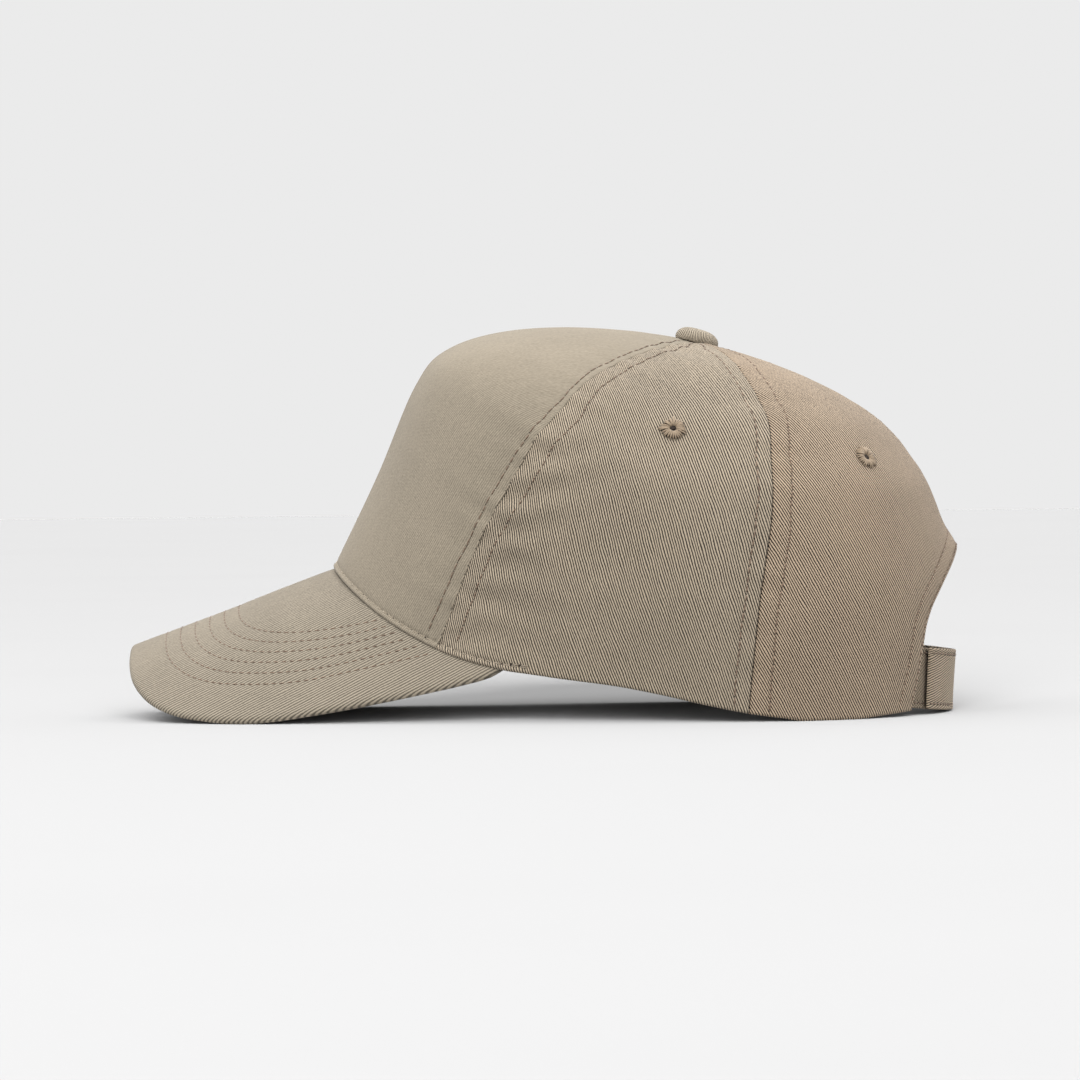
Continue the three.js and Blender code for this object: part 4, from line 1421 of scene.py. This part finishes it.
# the tab's cloth is painted darker, as shade under the panel's edge and the band
strap_band("strap_left_cloth", "strap_left", opening_edge - in_degrees(STRAP_SEWN),
           180 + in_degrees(TAB_PAST), lambda d: np.full(np.shape(d), inside_face), RIBS["tab"],
           61, shaded_tab_cloth)
shift_end = 360 - opening_edge - in_degrees(2)
strap_band("strap_right_cloth", "strap_right", opening_edge + in_degrees(STRAP_START),
           360 - opening_edge + in_degrees(STRAP_SEWN),
           lambda d: inside_face * ease((d - shift_end) / in_degrees(BAND_SHIFT) + 1),
           RIBS["band"], 71, strap_cloth)
strap_threads.piece("strap_stitches", [thread, painted_hole_shade])


# Studio
PAPER = 0.15                  # how much light the floor gives back
FLOOR_RADIUS = 9.0            # in metres, as are the lamps' places and sizes
SKY_LOW = 0.83                # light from the horizon, which is also the backdrop
SKY_HIGH = 3.05               # light from overhead
SKY_FROM = 0.2                # heights between which it grows
SKY_TO = 0.85
FLOOR_LIGHT_HEIGHT = 15       # degrees above the horizon
FLOOR_LIGHT_SPREAD = 34
FLOOR_LIGHT_POWER = 37

# Seen from the camera the peak is on the left, so -Y is left and +Y right
SOFT_LIGHTS = [
    # name, place, aimed at, size, power
    ("key_light", (1.25, -0.7, 1.5), (0, -0.02, 0.07), 0.9, 22),
    ("back_light", (-0.2, 1.5, 0.9), (0, 0.1, 0.06), 0.9, 5),
]


def stage_material():
    material, tree, shader = new_material("studio_paper")
    n = Nodes(tree)
    place = n.place()
    tone = n.math("MULTIPLY_ADD", n.noise(place, 3.0, 2.0), 0.05, 0.975)
    n.link(n.mix(tone, (0, 0, 0, 1), (PAPER, PAPER, PAPER, 1)), shader.inputs["Base Color"])
    shader.inputs["Roughness"].default_value = 1.0
    shader.inputs["Specular IOR Level"].default_value = 0.0
    return material


def studio():
    """A wide level floor, plain to the horizon."""
    turns = 96
    theta = np.arange(turns) * 2 * math.pi / turns
    points = [(FLOOR_RADIUS * math.cos(t), FLOOR_RADIUS * math.sin(t), 0.0) for t in theta]
    mesh = bpy.data.meshes.new("studio_floor")
    mesh.from_pydata(points, [], [tuple(range(turns))])
    mesh.materials.append(stage_material())
    floor = show(bpy.data.objects.new("studio_floor", mesh))
    return floor


floor = studio()


def lamp(name, kind, power):
    """A lamp in the scene, and its light."""
    light = bpy.data.lights.new(name, kind)
    light.energy = power
    return show(bpy.data.objects.new(name, light)), light


def soft_light(name, place, target, size, power):
    holder, light = lamp(name, "AREA", power)
    light.shape = "DISK"
    light.size = size
    holder.location = place
    way = Vector(target) - Vector(place)
    holder.rotation_euler = way.to_track_quat("-Z", "Y").to_euler()


def floor_light():
    """A broad low light from the camera's side that falls on the floor alone."""
    holder, light = lamp("floor_light", "SUN", FLOOR_LIGHT_POWER)
    light.angle = FLOOR_LIGHT_SPREAD * RAD
    holder.rotation_euler = (0, (90 - FLOOR_LIGHT_HEIGHT) * RAD, 0)
    lit = bpy.data.collections.new("lit_by_floor_light")
    lit.objects.link(floor)
    holder.light_linking.receiver_collection = lit


for light_row in SOFT_LIGHTS:
    soft_light(*light_row)
floor_light()


def sky():
    """Even light from all round that grows stronger towards the top."""
    world = bpy.data.worlds.new("studio_light")
    world.use_nodes = True
    tree = world.node_tree
    n = Nodes(tree)
    light = n.fade(n.split(n.place("Generated"))[2], SKY_FROM, SKY_TO, SKY_LOW, SKY_HIGH)
    background = tree.nodes["Background"]
    background.inputs[0].default_value = (1, 1, 1, 1)
    n.link(light, background.inputs[1])
    bpy.context.scene.world = world


sky()
bpy.context.scene.view_settings.view_transform = "Standard"

# Camera, level with the middle of the cap from its left side
CAMERA_AWAY = 1.8
CAMERA_UP = 0.7 * RAD
CAMERA_ROLL = -0.59 * RAD
AIM_AHEAD = 52.35             # the aim ahead of the crown's axis and above the floor, in mm
AIM_UP = 57.8
AIM = Vector((0, (AXIS_Y - AIM_AHEAD) / 1000, AIM_UP / 1000))
camera_data = bpy.data.cameras.new("camera")
camera_data.lens = 180
camera_data.sensor_width = 36
camera_data.clip_start = 0.05
camera_data.clip_end = 20
camera = show(bpy.data.objects.new("camera", camera_data))
away_from = Vector((math.cos(CAMERA_UP), 0, math.sin(CAMERA_UP)))
camera.location = AIM + away_from * CAMERA_AWAY
turned = (-away_from).to_track_quat("-Z", "Y").to_matrix()
camera.rotation_euler = (turned @ Matrix.Rotation(CAMERA_ROLL, 3, "Z")).to_euler()
bpy.context.scene.camera = camera
